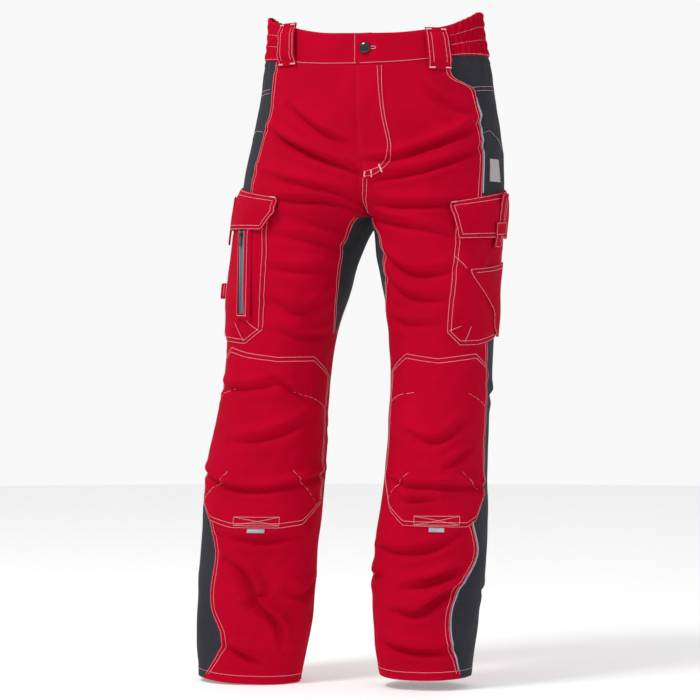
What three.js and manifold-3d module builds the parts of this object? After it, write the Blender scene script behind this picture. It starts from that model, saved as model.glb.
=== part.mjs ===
// Men's work trousers with contrast panels, cargo pockets and articulated knees.
// Millimetres. +Z is up, -Y is the front and +X is the wearer's left.
// The origin is the middle of the waist opening.
import * as THREE from "three";
import { mergeVertices } from "three/addons/utils/BufferGeometryUtils.js";
import Module from "manifold-3d";

const wasm = await Module();
wasm.setup();

// ---------------------------------------------------------------- driving dimensions
const RISE = 296; // waist opening down to the crotch
const INSEAM = 737; // crotch down to the hem
const KNEE_DROP = 354; // crotch down to the knee crease
const GIRTH = 1; // share of the drawn girth, for a wider or a narrower garment
const MERGE = 120; // height above the crotch over which the two legs grow into one hip
const FULLNESS = 2.2; // exponent of the superellipse cross-sections

const CLOTH = 2.5; // shell thickness, which stands in for cloth, seam turnings and lining
const PATCH = 1.6; // thickness of a piece that is sewn on top
const SEAM = 0.8; // gap left between two neighbouring panels
const LAY = 1.0; // gap under a piece that is sewn on top
const FIT = 0.4; // gap between small pieces that touch in the real garment

const BAND_HEIGHT = 50; // waistband
const BAND_RISE = 1.5; // how far the waistband stands out from the panels
const LOOP_WIDTH = 37;
const LOOP_GAP = 6.2; // room for a belt under a loop
const BUTTON_RADIUS = 9.2;
const BUTTON_Z = -37;
const SHANK_RADIUS = 1.8;

const FLY_LENGTH = 160; // from the waistband down to the end of the placket
const FLY_WIDTH = 42;
const ZIP_WIDTH = 28; // both tapes of the fly zip together
const KNEE_BAND = 80; // cloth above and below the knee crease that bends with it
const KNEE_PATCH_TOP = 136; // above the crease
const KNEE_PATCH_BOTTOM = 138; // below the crease
const CARGO_DEPTH = 9; // how far a cargo pocket stands out
const CARGO_TOP = -268;
const CARGO_HEIGHT = 224;
const FLAP_OVERHANG = 0.01; // how far a flap reaches past its pocket, as a share of the girth
const MOUTH_UNDER_FLAP = 30; // from the seam of a flap down to the mouth of its pocket
const FLAP_CLEARANCE = 3.2; // between a pocket's face and its flap, for the fastener
const CARGO_ZIP_LENGTH = 132;
const CARGO_ZIP_STAND = 4.2; // from the pocket face to the middle of the zip where the leg bulges most
const HAND_POCKET_Z = -95; // mouth of the hand pocket
const HAND_POCKET_DEPTH = 150;
const HAND_POCKET_ROOM = 10;

const RIGHT = -1;
const LEFT = 1;
const sideName = (side) => (side === RIGHT ? "right" : "left");

const CROTCH_Z = -RISE;
const KNEE_Z = CROTCH_Z - KNEE_DROP;
const HEM_Z = CROTCH_Z - INSEAM;

// ---------------------------------------------------------------- smooth curves
// A smooth curve y(x) through stations [[x, y], ...], with the slope at each station set by its neighbours.
function curve(stations) {
  const s = [...stations].sort((a, b) => a[0] - b[0]);
  const slope = (i) => (s[i + 1][1] - s[i][1]) / (s[i + 1][0] - s[i][0]);
  const tangent = s.map((_, i) => {
    if (i === 0) return slope(0);
    if (i === s.length - 1) return slope(i - 1);
    const before = s[i][0] - s[i - 1][0];
    const after = s[i + 1][0] - s[i][0];
    return (slope(i - 1) * after + slope(i) * before) / (before + after);
  });
  return (x) => {
    const at = Math.min(Math.max(x, s[0][0]), s[s.length - 1][0]);
    let i = 0;
    while (i < s.length - 2 && at > s[i + 1][0]) i++;
    const h = s[i + 1][0] - s[i][0];
    const t = (at - s[i][0]) / h;
    const t2 = t * t;
    const t3 = t2 * t;
    return (
      (2 * t3 - 3 * t2 + 1) * s[i][1] +
      (t3 - 2 * t2 + t) * h * tangent[i] +
      (3 * t2 - 2 * t3) * s[i + 1][1] +
      (t3 - t2) * h * tangent[i + 1]
    );
  };
}

// Heights down the body: shares of the rise above the crotch, of the thigh down to the knee,
// and of the shin below it.
const hip = (share) => -RISE * share;
const thigh = (share) => CROTCH_Z - KNEE_DROP * share;
const shin = (share) => KNEE_Z - (INSEAM - KNEE_DROP) * share;
const wide = (mm) => mm * GIRTH;

const LEVELS = [
  ...[-0.14, 0, 0.27, 0.5, 0.71, 0.93].map(hip),
  ...[0.15, 0.3, 0.53, 0.72].map(thigh),
  ...[0.06, 0.48, 0.73, 0.9, 1].map(shin),
];
const profile = (values) => curve(LEVELS.map((z, i) => [z, wide(values[i])]));
const OUTSIDE = {
  [RIGHT]: profile([171, 172, 183, 196, 210, 221, 230, 235, 240, 246, 270, 290, 294, 295, 293]),
  [LEFT]: profile([171, 174, 190, 200, 205, 203, 199, 195, 190, 188, 182, 180, 168, 160, 153]),
};
const LEG_LEVELS = [
  CROTCH_Z,
  ...[0.15, 0.3, 0.53, 0.72].map(thigh),
  ...[0.06, 0.48, 0.73, 0.9, 1].map(shin),
];
const legProfile = (values) => curve(LEG_LEVELS.map((z, i) => [z, wide(values[i])]));
const INSIDE = {
  [RIGHT]: legProfile([0, 25, 43, 68, 76, 84, 96, 105, 117, 125]),
  [LEFT]: legProfile([0, 4, 14, 25, 30, 21, 3, -3, 4, 13]),
};
const FRONT = profile([-106, -108, -115, -119, -118, -111, -104, -98, -91, -87, -86, -74, -66, -62, -60]);
const BACK = profile([110, 112, 121, 133, 138, 130, 119, 108, 95, 90, 86, 75, 69, 65, 62]);

// ---------------------------------------------------------------- the body surface
// The cross-section of one half at height z: a superellipse, cut at the middle plane above the crotch.
function section(side, z) {
  const merge = Math.min(Math.max((z - CROTCH_Z) / MERGE, 0), 1);
  const out = OUTSIDE[side](z);
  const inn = z > CROTCH_Z ? -merge * out : INSIDE[side](z);
  const cx = (out + inn) / 2;
  const a = (out - inn) / 2;
  const cy = (FRONT(z) + BACK(z)) / 2;
  const b = (BACK(z) - FRONT(z)) / 2;
  const cut = z > CROTCH_Z ? Math.acos(Math.min(cx / a, 1) ** (FULLNESS / 2)) : 0;
  return { cx, a, cy, b, cut };
}

const power = (value, exponent) => Math.sign(value) * Math.abs(value) ** exponent;

// A point of the surface and its level outward normal. u runs from the middle front or the inseam (0),
// over the side seam (0.5), to the middle back or the inseam again (1).
function skin(side, u, z) {
  const { cx, a, cy, b, cut } = section(side, z);
  const w = 1 - 2 * u;
  const ease = cut > 1e-6 ? Math.min(1 + 0.55 * (Math.PI / cut - 2), 9) : 1;
  const phi = 2 * Math.PI * u + cut * power(w, ease);
  const c = Math.cos(phi);
  const s = Math.sin(phi);
  const x = cx - a * power(c, 2 / FULLNESS);
  const y = cy - b * power(s, 2 / FULLNESS);
  const normal = new THREE.Vector2(-power(c, 2 - 2 / FULLNESS) / a, -power(s, 2 - 2 / FULLNESS) / b);
  normal.normalize();
  const inHalf = u >= 0 && u <= 1 && z >= CROTCH_Z; // a piece that crosses the middle runs past 0 or 1
  const away = inHalf ? Math.max(x, SEAM / 2) : x;
  return {
    at: new THREE.Vector3(side * away, y, z),
    out: new THREE.Vector3(side * normal.x, normal.y, 0),
  };
}

// The same surface by x instead of u, for pieces that cross the middle plane. way is -1 for front, 1 for back.
function across(way, x, z) {
  const surface = (at) => {
    const { cx, a, cy, b } = section(at < 0 ? RIGHT : LEFT, z);
    const share = Math.min(Math.abs((Math.abs(at) - cx) / a), 1);
    return cy + way * b * (1 - share ** FULLNESS) ** (1 / FULLNESS);
  };
  const step = 2;
  const slope = (surface(x + step) - surface(x - step)) / (2 * step);
  const out = new THREE.Vector3(-way * slope, way, 0).normalize();
  return { at: new THREE.Vector3(x, surface(x), z), out };
}

const lifted = (spot, offset) => spot.at.clone().addScaledVector(spot.out, offset);

// Change of u that moves a point sideways by one millimetre.
function perMillimetre(side, u, z) {
  const step = 0.004;
  return (2 * step) / skin(side, u + step, z).at.distanceTo(skin(side, u - step, z).at);
}

// ---------------------------------------------------------------- solids
const lerp = (a, b, t) => a + (b - a) * t;
const constant = (value) => (typeof value === "function" ? value : () => value);

// A closed solid between two offsets of a surface patch. spotAt(p, q) gives the patch, p and q in 0..1.
function quilt(spotAt, columns, rows, lowOffset, highOffset) {
  const low = constant(lowOffset);
  const high = constant(highOffset);
  const points = [];
  const index = (layer, i, j) => (layer * (rows + 1) + j) * (columns + 1) + i;
  for (const offset of [low, high]) {
    for (let j = 0; j <= rows; j++) {
      for (let i = 0; i <= columns; i++) {
        const p = i / columns;
        const q = j / rows;
        points.push(...lifted(spotAt(p, q), offset(p, q)).toArray());
      }
    }
  }
  const faces = [];
  const quad = (a, b, c, d) => faces.push(a, b, c, a, c, d);
  for (let j = 0; j < rows; j++) {
    for (let i = 0; i < columns; i++) {
      quad(index(1, i, j), index(1, i + 1, j), index(1, i + 1, j + 1), index(1, i, j + 1));
      quad(index(0, i, j), index(0, i, j + 1), index(0, i + 1, j + 1), index(0, i + 1, j));
    }
  }
  for (let i = 0; i < columns; i++) {
    quad(index(0, i, 0), index(0, i + 1, 0), index(1, i + 1, 0), index(1, i, 0));
    quad(index(0, i, rows), index(1, i, rows), index(1, i + 1, rows), index(0, i + 1, rows));
  }
  for (let j = 0; j < rows; j++) {
    quad(index(0, 0, j), index(1, 0, j), index(1, 0, j + 1), index(0, 0, j + 1));
    quad(index(0, columns, j), index(0, columns, j + 1), index(1, columns, j + 1), index(1, columns, j));
  }
  return facingOut(points, faces);
}

// A geometry from points and triangles, turned round if its volume comes out negative.
function facingOut(points, faces) {
  const corner = (k) => new THREE.Vector3(...points.slice(3 * k, 3 * k + 3));
  let volume = 0;
  for (let f = 0; f < faces.length; f += 3) {
    const [a, b, c] = [corner(faces[f]), corner(faces[f + 1]), corner(faces[f + 2])];
    volume += a.dot(b.cross(c));
  }
  const turned = volume < 0 ? [...faces].reverse() : faces;
  const geometry = new THREE.BufferGeometry();
  geometry.setAttribute("position", new THREE.Float32BufferAttribute(points, 3));
  geometry.setIndex(turned);
  return geometry;
}

function toSolid(geometry) {
  const bare = geometry.clone();
  bare.deleteAttribute("normal");
  bare.deleteAttribute("uv");
  const merged = mergeVertices(bare, 1e-4);
  const mesh = new wasm.Mesh({
    numProp: 3,
    vertProperties: new Float32Array(merged.attributes.position.array),
    triVerts: new Uint32Array(merged.index.array),
  });
  return new wasm.Manifold(mesh);
}

function fromSolid(solid) {
  const mesh = solid.getMesh();
  const geometry = new THREE.BufferGeometry();
  geometry.setAttribute("position", new THREE.BufferAttribute(mesh.vertProperties.slice(), 3));
  geometry.setIndex(new THREE.BufferAttribute(mesh.triVerts.slice(), 1));
  return geometry;
}

// Where a cutter's facets and the body's run close together, a cut can leave crumbs:
// only the piece itself is kept.
function cutBy(body, ...tools) {
  const cut = tools.reduce((left, tool) => left.subtract(toSolid(tool)), toSolid(body));
  const bodies = cut.decompose();
  return fromSolid(bodies.reduce((largest, next) => (next.volume() > largest.volume() ? next : largest)));
}

const joined = (...pieces) =>
  fromSolid(pieces.map(toSolid).reduce((sum, piece) => sum.add(piece)));

// A box along a line on the surface: x across, y along the line (0 at its start), z away from the body.
function alongLine(start, end, outward) {
  const up = new THREE.Vector3().subVectors(end, start).normalize();
  const away = outward.clone().addScaledVector(up, -outward.dot(up)).normalize();
  const sideways = new THREE.Vector3().crossVectors(up, away);
  return new THREE.Matrix4().makeBasis(sideways, up, away).setPosition(start);
}

function box(width, from, to, low, high, shift = 0) {
  const geometry = new THREE.BoxGeometry(width, to - from, high - low);
  return geometry.translate(shift, (from + to) / 2, (low + high) / 2);
}

// ---------------------------------------------------------------- seams, as u by height
const BAND_LINE = curve([
  [0, -62],
  [0.1, -60],
  [0.18, -56],
  [0.27, -49],
  [0.5, -42],
  [1, -38],
]);
const bandTop = (u) => BAND_LINE(u) + BAND_HEIGHT;

const FRONT_SEAM = {
  [RIGHT]: curve([
    [-45, 0.31],
    [-90, 0.288],
    [-136, 0.288],
    [-186, 0.314],
    [-246, 0.357],
    [thigh(0.3), 0.43],
    [thigh(0.6), 0.46],
    [shin(0.3), 0.39],
    [shin(0.43), 0.347],
    [shin(0.7), 0.353],
    [shin(0.86), 0.31],
    [shin(1), 0.385],
  ]),
  [LEFT]: curve([
    [-45, 0.25],
    [-67, 0.262],
    [-95, 0.295],
    [-130, 0.353],
    [-173, 0.353],
    [-226, 0.384],
    [thigh(0.3), 0.44],
    [thigh(0.6), 0.46],
    [shin(0.33), 0.4],
    [shin(0.46), 0.43],
    [shin(0.63), 0.36],
    [shin(0.8), 0.355],
    [shin(1), 0.418],
  ]),
};
const BACK_SEAM = curve([
  [-40, 0.56],
  [CROTCH_Z, 0.6],
  [KNEE_Z, 0.6],
  [HEM_Z, 0.62],
]);
const GUSSET_BOTTOM = thigh(0.53);
const GUSSET_FRONT = {
  [RIGHT]: curve([
    [CROTCH_Z, 0.088],
    [thigh(0.06), 0.09],
    [thigh(0.3), 0.06],
    [GUSSET_BOTTOM, 0.006],
  ]),
  [LEFT]: curve([
    [CROTCH_Z, 0.07],
    [thigh(0.12), 0.115],
    [thigh(0.27), 0.11],
    [GUSSET_BOTTOM, 0.006],
  ]),
};

// Above the crotch the front edge leaves room for the fly zip, and below it the gusset or the inseam starts.
const FLY_EDGE = curve([
  [-50, 0.0145],
  [-62 - FLY_LENGTH, 0.0145],
  [CROTCH_Z + 40, 0],
  [CROTCH_Z, 0],
]);
const innerFront = (side) => (z) => {
  if (z > CROTCH_Z) return Math.max(FLY_EDGE(z), 0);
  return z >= GUSSET_BOTTOM ? GUSSET_FRONT[side](z) : 0;
};
const innerBack = (side) => (z) => {
  if (z > CROTCH_Z) return 1;
  return z >= GUSSET_BOTTOM ? 1 - GUSSET_FRONT[side](z) : 1;
};

// ---------------------------------------------------------------- shell panels
const ROWS = [
  null, // row 0 is the lower edge of the waistband
  HAND_POCKET_Z,
  -135,
  -176,
  -220,
  -258,
  -280,
  CROTCH_Z + 6,
  CROTCH_Z,
  ...[0.12, 0.25, 0.39].map(thigh),
  GUSSET_BOTTOM,
  thigh(0.64),
  KNEE_Z + KNEE_BAND,
  KNEE_Z + KNEE_BAND / 2,
  KNEE_Z,
  KNEE_Z - KNEE_BAND / 2,
  KNEE_Z - KNEE_BAND,
  ...[0.34, 0.46, 0.6, 0.73, 0.86].map(shin),
  HEM_Z,
];
const CROTCH_ROW = ROWS.indexOf(CROTCH_Z);
const GUSSET_ROW = ROWS.indexOf(GUSSET_BOTTOM);
const POCKET_ROW = ROWS.indexOf(HAND_POCKET_Z);
const KNEE_TOP_ROW = ROWS.indexOf(KNEE_Z + KNEE_BAND);
const KNEE_BOTTOM_ROW = ROWS.indexOf(KNEE_Z - KNEE_BAND);
const HEM_ROW = ROWS.length - 1;
const rowZ = (row, u) => (row === 0 ? BAND_LINE(u) : ROWS[row]);

// A shell panel between two rows and two seams. Neighbours meet row by row, so their edges stay parallel.
function panel(side, firstRow, lastRow, uFrom, uTo, columns) {
  const rows = lastRow - firstRow;
  const spotAt = (p, q) => {
    const row = firstRow + Math.round(q * rows);
    const middle = rowZ(row, (uFrom(CROTCH_Z) + uTo(CROTCH_Z)) / 2);
    const from = uFrom(middle);
    const to = uTo(middle);
    const start = from + (SEAM / 2) * perMillimetre(side, from, middle);
    const end = to - (SEAM / 2) * perMillimetre(side, to, middle);
    const u = lerp(start, end, p);
    const inset = row === firstRow ? -SEAM / 2 : row === lastRow && lastRow < HEM_ROW ? SEAM / 2 : 0;
    return skin(side, u, rowZ(row, u) + inset);
  };
  return quilt(spotAt, columns, rows, -CLOTH, 0);
}

// A patch between two u values and two heights, each a number or a function.
function patch(side, uFrom, uTo, zTop, zBottom, columns, rows, low, high) {
  const [from, to, top, bottom] = [uFrom, uTo, zTop, zBottom].map(constant);
  const spotAt = (p, q) => {
    const z = lerp(top(p), bottom(p), q);
    return skin(side, lerp(from(z), to(z), p), z);
  };
  return quilt(spotAt, columns, rows, low, high);
}

// A patch pocket: a shallow tray sewn on by three sides, open towards the body and at its mouth.
function tray(side, { from, to, top, bottom, low, depth, wall, columns, rows, mouth = "top" }) {
  const rim = wall * 1.6 * perMillimetre(side, 0.45, KNEE_Z);
  const high = low + depth;
  const beyond = 12;
  const [zTop, zBottom] = [constant(top), constant(bottom)];
  const [uFrom, uTo] = [constant(from), constant(to)];
  const body = patch(side, from, to, top, bottom, columns, rows, low, high);
  const roomTop = (p) => zTop(p) + (mouth === "top" ? beyond : -wall * 1.6);
  const roomBottom = (p) => zBottom(p) + (mouth === "bottom" ? -beyond : wall * 1.6);
  const room = patch(
    side,
    (z) => uFrom(z) + rim,
    (z) => uTo(z) - rim,
    roomTop,
    roomBottom,
    columns,
    rows,
    low - 1,
    high - wall
  );
  return cutBy(body, room);
}

// ---------------------------------------------------------------- the assembly
const RED = new THREE.MeshStandardMaterial({ name: "red_twill", color: 0xb8102a, roughness: 0.9 });
const GREY = new THREE.MeshStandardMaterial({ name: "grey_twill", color: 0x3c404a, roughness: 0.9 });
const LINING = new THREE.MeshStandardMaterial({ name: "lining", color: 0x2b2d33, roughness: 0.9 });
const TAPE = new THREE.MeshStandardMaterial({ name: "zip_tape", color: 0x55585e, roughness: 0.8 });
const METAL = new THREE.MeshStandardMaterial({
  name: "zip_metal",
  color: 0x9a9da2,
  roughness: 0.35,
  metalness: 1,
});
const BLACK = new THREE.MeshStandardMaterial({ name: "button_black", color: 0x101012, roughness: 0.25 });
const HOOKS = new THREE.MeshStandardMaterial({ name: "hook_and_loop", color: 0x222328, roughness: 1 });

const trousers = new THREE.Group();
const add = (name, geometry, material) => {
  const mesh = new THREE.Mesh(geometry, material);
  mesh.name = name;
  trousers.add(mesh);
  return mesh;
};

function addShell(side) {
  const name = sideName(side);
  const front = innerFront(side);
  const back = innerBack(side);
  const gusset = GUSSET_FRONT[side];
  add(`front_panel_${name}`, panel(side, 0, KNEE_TOP_ROW, front, FRONT_SEAM[side], 9), RED);
  add(`side_panel_${name}`, panel(side, POCKET_ROW, KNEE_TOP_ROW, FRONT_SEAM[side], BACK_SEAM, 5), GREY);
  add(`back_panel_${name}`, panel(side, 0, KNEE_TOP_ROW, BACK_SEAM, back, 9), RED);
  add(`gusset_${name}`, panel(side, CROTCH_ROW, GUSSET_ROW, (z) => -gusset(z), gusset, 4), GREY);
  const half = () => 0.5;
  add(`knee_front_${name}`, panel(side, KNEE_TOP_ROW, KNEE_BOTTOM_ROW, () => 0, half, 11), RED);
  add(`knee_back_${name}`, panel(side, KNEE_TOP_ROW, KNEE_BOTTOM_ROW, half, () => 1, 11), RED);
  add(`shin_panel_${name}`, panel(side, KNEE_BOTTOM_ROW, HEM_ROW, () => 0, FRONT_SEAM[side], 8), RED);
  const lowerSide = panel(side, KNEE_BOTTOM_ROW, HEM_ROW, FRONT_SEAM[side], BACK_SEAM, 5);
  add(`lower_side_panel_${name}`, lowerSide, GREY);
  add(`calf_panel_${name}`, panel(side, KNEE_BOTTOM_ROW, HEM_ROW, BACK_SEAM, () => 1, 8), RED);
}

// ---- waistband
const BAND_FRONT_END = 0.24;
const BAND_BACK_START = 0.72;
const UNDERLAP = 0.05; // how far the right end of the waistband runs under the left one
const OVERLAP = 0.0095;

function bandPiece(side, from, to, columns, low = -CLOTH, high = BAND_RISE) {
  const spotAt = (p, q) => {
    const gap = (SEAM / 2) * perMillimetre(side, 0.2, 0);
    const u = lerp(from + gap, to - gap, p);
    const z = lerp(bandTop(Math.abs(u)), BAND_LINE(Math.abs(u)) + SEAM / 2, q);
    return skin(side, u, z);
  };
  return quilt(spotAt, columns, 2, low, high);
}

const buttonSpot = skin(LEFT, 0.0145, BUTTON_Z);
const buttonTilt = skin(LEFT, 0.0145, BUTTON_Z + 5).at.y - skin(LEFT, 0.0145, BUTTON_Z - 5).at.y;
const buttonFrame = alongLine(
  buttonSpot.at,
  buttonSpot.at.clone().add(new THREE.Vector3(0, buttonTilt, 10)),
  buttonSpot.out
);
const lathe = (profilePoints, segments) => {
  const points = profilePoints.map(([r, h]) => new THREE.Vector2(r, h));
  return new THREE.LatheGeometry(points, segments).rotateX(Math.PI / 2).applyMatrix4(buttonFrame);
};

function addWaistband() {
  const underlapLow = -CLOTH - FIT - PATCH - 0.6;
  const underlapHigh = (p) => (p > 0.85 ? -CLOTH + 0.6 : -CLOTH - 0.6);
  const rightEnd = bandPiece(RIGHT, 0.0125, BAND_FRONT_END, 12);
  const under = bandPiece(RIGHT, -UNDERLAP, 0.04, 8, underlapLow, underlapHigh);
  const hole = lathe(
    [
      [0, -9],
      [SHANK_RADIUS + FIT, -9],
      [SHANK_RADIUS + FIT, 4],
      [0, 4],
    ],
    16
  );
  add("waistband_front_right", cutBy(joined(rightEnd, under), hole), RED);
  const slotLength = 16;
  const slot = box(slotLength, -SHANK_RADIUS - FIT, SHANK_RADIUS + FIT, -CLOTH - 0.5, BAND_RISE + 1);
  slot.translate(slotLength / 2 - SHANK_RADIUS - FIT, 0, 0).applyMatrix4(buttonFrame);
  const leftEnd = bandPiece(LEFT, -OVERLAP, BAND_FRONT_END, 13);
  add("waistband_front_left", cutBy(leftEnd, slot), RED);
  for (const side of [RIGHT, LEFT]) {
    const name = sideName(side);
    add(`waistband_elastic_${name}`, bandPiece(side, BAND_FRONT_END, BAND_BACK_START, 14), RED);
    add(`waistband_back_${name}`, bandPiece(side, BAND_BACK_START, 1, 8), RED);
  }
}

function addButton() {
  const capLow = BAND_RISE + FIT;
  const tackTop = -CLOTH - FIT - PATCH - 0.6 - FIT;
  const cap = lathe(
    [
      [0, tackTop - 1.4],
      [SHANK_RADIUS, tackTop - 1.4],
      [SHANK_RADIUS, capLow],
      [BUTTON_RADIUS, capLow],
      [BUTTON_RADIUS, capLow + 1.6],
      [BUTTON_RADIUS * 0.85, capLow + 2.6],
      [BUTTON_RADIUS * 0.5, capLow + 3.3],
      [0, capLow + 3.6],
    ],
    24
  );
  add("waist_button_cap", cap, BLACK);
  const hollow = SHANK_RADIUS + 0.35;
  const tack = lathe(
    [
      [0, tackTop - 3],
      [5.5, tackTop - 3],
      [5.5, tackTop],
      [hollow, tackTop],
      [hollow, tackTop - 1.9],
      [0, tackTop - 1.9],
    ],
    20
  );
  add("waist_button_tack", tack, METAL);
}

function addBeltLoop(name, side, middle) {
  const half = (LOOP_WIDTH / 2) * perMillimetre(side, middle, 0);
  const seat = BAND_RISE + FIT + 0.4;
  const rise = (q) => (q < 0.15 || q > 0.85 ? seat : seat + LOOP_GAP);
  const top = bandTop(middle) + 1;
  const bottom = BAND_LINE(middle) - 9;
  const low = (p, q) => rise(q);
  const high = (p, q) => rise(q) + PATCH;
  const strap = patch(side, middle - half, middle + half, top, bottom, 2, 10, low, high);
  add(name, strap, RED);
}

// ---- fly
const ZIP_TOP_Z = -66;
const ZIP_BOTTOM_Z = ZIP_TOP_Z - FLY_LENGTH + 10;
const TOOTH = 1.7; // width of one row of teeth
const TEETH_GAP = 1; // between the two rows
const SLIDER_LENGTH = 9;

// A straight zip along a line: two tapes with their teeth, a slider and its puller.
// footing is how far the outer edges of the tapes reach down to what they are sewn to.
function addZip(prefix, start, end, outward, halfWidth, pullerLength, footing) {
  const matrix = alongLine(start, end, outward);
  const length = start.distanceTo(end);
  const place = (geometry) => geometry.applyMatrix4(matrix);
  const inner = TEETH_GAP / 2;
  for (const way of [-1, 1]) {
    const middleX = way * (inner + TOOTH + (halfWidth - inner - TOOTH) / 2);
    const tape = box(halfWidth - inner - TOOTH + 0.4, 0, length, -0.6, 0.6, middleX - way * 0.2);
    const teeth = box(TOOTH, 2, length - 2, -1.1, 1.1, way * (inner + TOOTH / 2));
    const foot = box(1.2, 0, length, -0.6 - footing, 0.6, way * (halfWidth - 0.6));
    add(`${prefix}_zip_tape_${way < 0 ? "right" : "left"}`, place(joined(tape, teeth, foot)), TAPE);
  }
  const plate = 1;
  const reach = 1.1 + FIT;
  const half = inner + TOOTH + 1.6;
  const top = box(2 * half, 2, 2 + SLIDER_LENGTH, reach, reach + plate);
  const bottom = box(2 * half, 2, 2 + SLIDER_LENGTH, -reach - plate, -reach);
  const post = box(0.5, 3, 6, -reach - 0.2, reach + 0.2);
  const bail = box(1.2, 4, 8, reach + plate - 0.2, reach + plate + 2.4);
  add(`${prefix}_zip_slider`, place(joined(top, bottom, post, bail)), METAL);
  const pullLow = reach + plate + 0.4;
  const pullWidth = 5;
  const ring = box(pullWidth, 2.6, 2.6 + pullerLength, pullLow, pullLow + 1.2);
  const eye = box(1.2 + 2 * FIT, 3.6, 8 + FIT, pullLow - 1, pullLow + 2);
  add(`${prefix}_zip_puller`, place(cutBy(ring, eye)), METAL);
}

function addFly() {
  const bottom = BAND_LINE(0) - FLY_LENGTH - 14;
  const bend = bottom + 34;
  const width = (z) => {
    const straight = FLY_WIDTH - 6 + (6 * (BAND_LINE(0) - z)) / FLY_LENGTH;
    if (z > bend) return straight;
    return Math.max(straight * Math.sqrt(Math.max(1 - ((bend - z) / (bend - bottom)) ** 2, 0)), 6);
  };
  const placket = quilt(
    (p, q) => {
      const z = lerp(BAND_LINE(0) - 1, bottom, q);
      return across(-1, lerp(-3, width(z), p), z);
    },
    3,
    10,
    LAY,
    LAY + PATCH
  );
  add("fly_placket", placket, RED);
  const deep = 8;
  const sink = (p) => -CLOTH - LAY - deep * Math.min(p / 0.35, 1);
  const shield = quilt(
    (p, q) => across(-1, lerp(-40, 17, p), lerp(BAND_LINE(0) - 2, bottom + 10, q)),
    6,
    5,
    (p) => sink(p) - PATCH,
    sink
  );
  add("fly_shield", shield, LINING);
  const depth = -4.2;
  const topSpot = across(-1, 0, ZIP_TOP_Z);
  const bottomSpot = across(-1, 0, ZIP_BOTTOM_Z);
  const out = new THREE.Vector3(0, -1, 0);
  addZip("fly", lifted(topSpot, depth), lifted(bottomSpot, depth), out, ZIP_WIDTH / 2, 18, 0);
}

// ---- hand pockets
function addHandPocket(side) {
  const high = -CLOTH - LAY - 0.9; // clear of the flat facets of the panels
  const low = high - HAND_POCKET_ROOM - PATCH;
  const rim = 4 * perMillimetre(side, 0.4, -150);
  const from = (z) => FRONT_SEAM[side](Math.max(z, -130)) - 0.022;
  const to = () => 0.59;
  const top = (p) => BAND_LINE(lerp(0.27, 0.59, p)) - SEAM;
  const bottom = HAND_POCKET_Z - HAND_POCKET_DEPTH;
  const bag = patch(side, from, to, top, bottom, 9, 5, low, high);
  const roomTop = (p) => top(p) - 4;
  const roomFrom = (z) => from(z) + rim;
  const roomTo = () => to() - rim;
  const room = patch(side, roomFrom, roomTo, roomTop, bottom + 4, 9, 5, low + PATCH, high + 1);
  add(`hand_pocket_bag_${sideName(side)}`, cutBy(bag, room), LINING);
}

// ---- cargo pockets
const CARGO = {
  [RIGHT]: { front: 0.272, back: 0.525, flapTop: [-267, -239], flapBottom: -316 },
  [LEFT]: { front: 0.316, back: 0.555, flapTop: [-277, -250], flapBottom: -333 },
};
function addCargo(side) {
  const { front, back, flapTop, flapBottom } = CARGO[side];
  const name = sideName(side);
  const bottom = CARGO_TOP - CARGO_HEIGHT;
  const corner = (p) => bottom + 20 * Math.max(1 - p / 0.18, 0);
  const wall = PATCH;
  const face = LAY + CARGO_DEPTH;
  const seamZ = (p) => lerp(flapTop[0], flapTop[1], p);
  const top = (p) => seamZ(p) - MOUTH_UNDER_FLAP;
  const body = tray(side, {
    from: front, to: back, top, bottom: corner, low: LAY, depth: CARGO_DEPTH, wall, columns: 9, rows: 6,
  });
  add(`cargo_pocket_${name}`, body, RED);
  const flapLow = (p, q) => {
    const below = q * (seamZ(p) - flapBottom);
    return lerp(LAY, face + FLAP_CLEARANCE, Math.min(below / (MOUTH_UNDER_FLAP - 12), 1));
  };
  const flapHigh = (p, q) => flapLow(p, q) + PATCH;
  const flap = patch(side, front - FLAP_OVERHANG, back + FLAP_OVERHANG, seamZ, flapBottom, 10, 7, flapLow, flapHigh);
  add(`cargo_flap_${name}`, flap, RED);
  const [patchFrom, patchTo] = [front + 0.07, back - 0.07];
  const [patchTop, patchBottom] = [flapBottom + 22, flapBottom + 6];
  const fastener = (low) => patch(side, patchFrom, patchTo, patchTop, patchBottom, 6, 1, low, low + 0.6);
  add(`flap_hook_${name}`, fastener(face + FLAP_CLEARANCE - 1.5), HOOKS);
  add(`flap_loop_${name}`, fastener(face + 0.6), HOOKS);
}

// How far the leg bulges out of the straight line between two spots given as [u, z].
function bulge(side, [uStart, zStart], [uEnd, zEnd]) {
  const start = skin(side, uStart, zStart);
  const end = skin(side, uEnd, zEnd);
  const shares = [0.1, 0.2, 0.3, 0.4, 0.5, 0.6, 0.7, 0.8, 0.9];
  const heights = shares.map((share) => {
    const spot = skin(side, lerp(uStart, uEnd, share), lerp(zStart, zEnd, share)).at;
    return spot.sub(start.at.clone().lerp(end.at, share)).dot(start.out);
  });
  return Math.max(0, ...heights);
}

function addCargoZip() {
  const top = CARGO[RIGHT].flapBottom - 3;
  const from = [0.345, top];
  const to = [0.313, top - CARGO_ZIP_LENGTH];
  const level = LAY + CARGO_DEPTH + CARGO_ZIP_STAND + bulge(RIGHT, from, to);
  const start = skin(RIGHT, ...from);
  const end = skin(RIGHT, ...to);
  addZip("cargo", lifted(start, level), lifted(end, level), start.out, 6.5, 22, 3.2);
}

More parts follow.
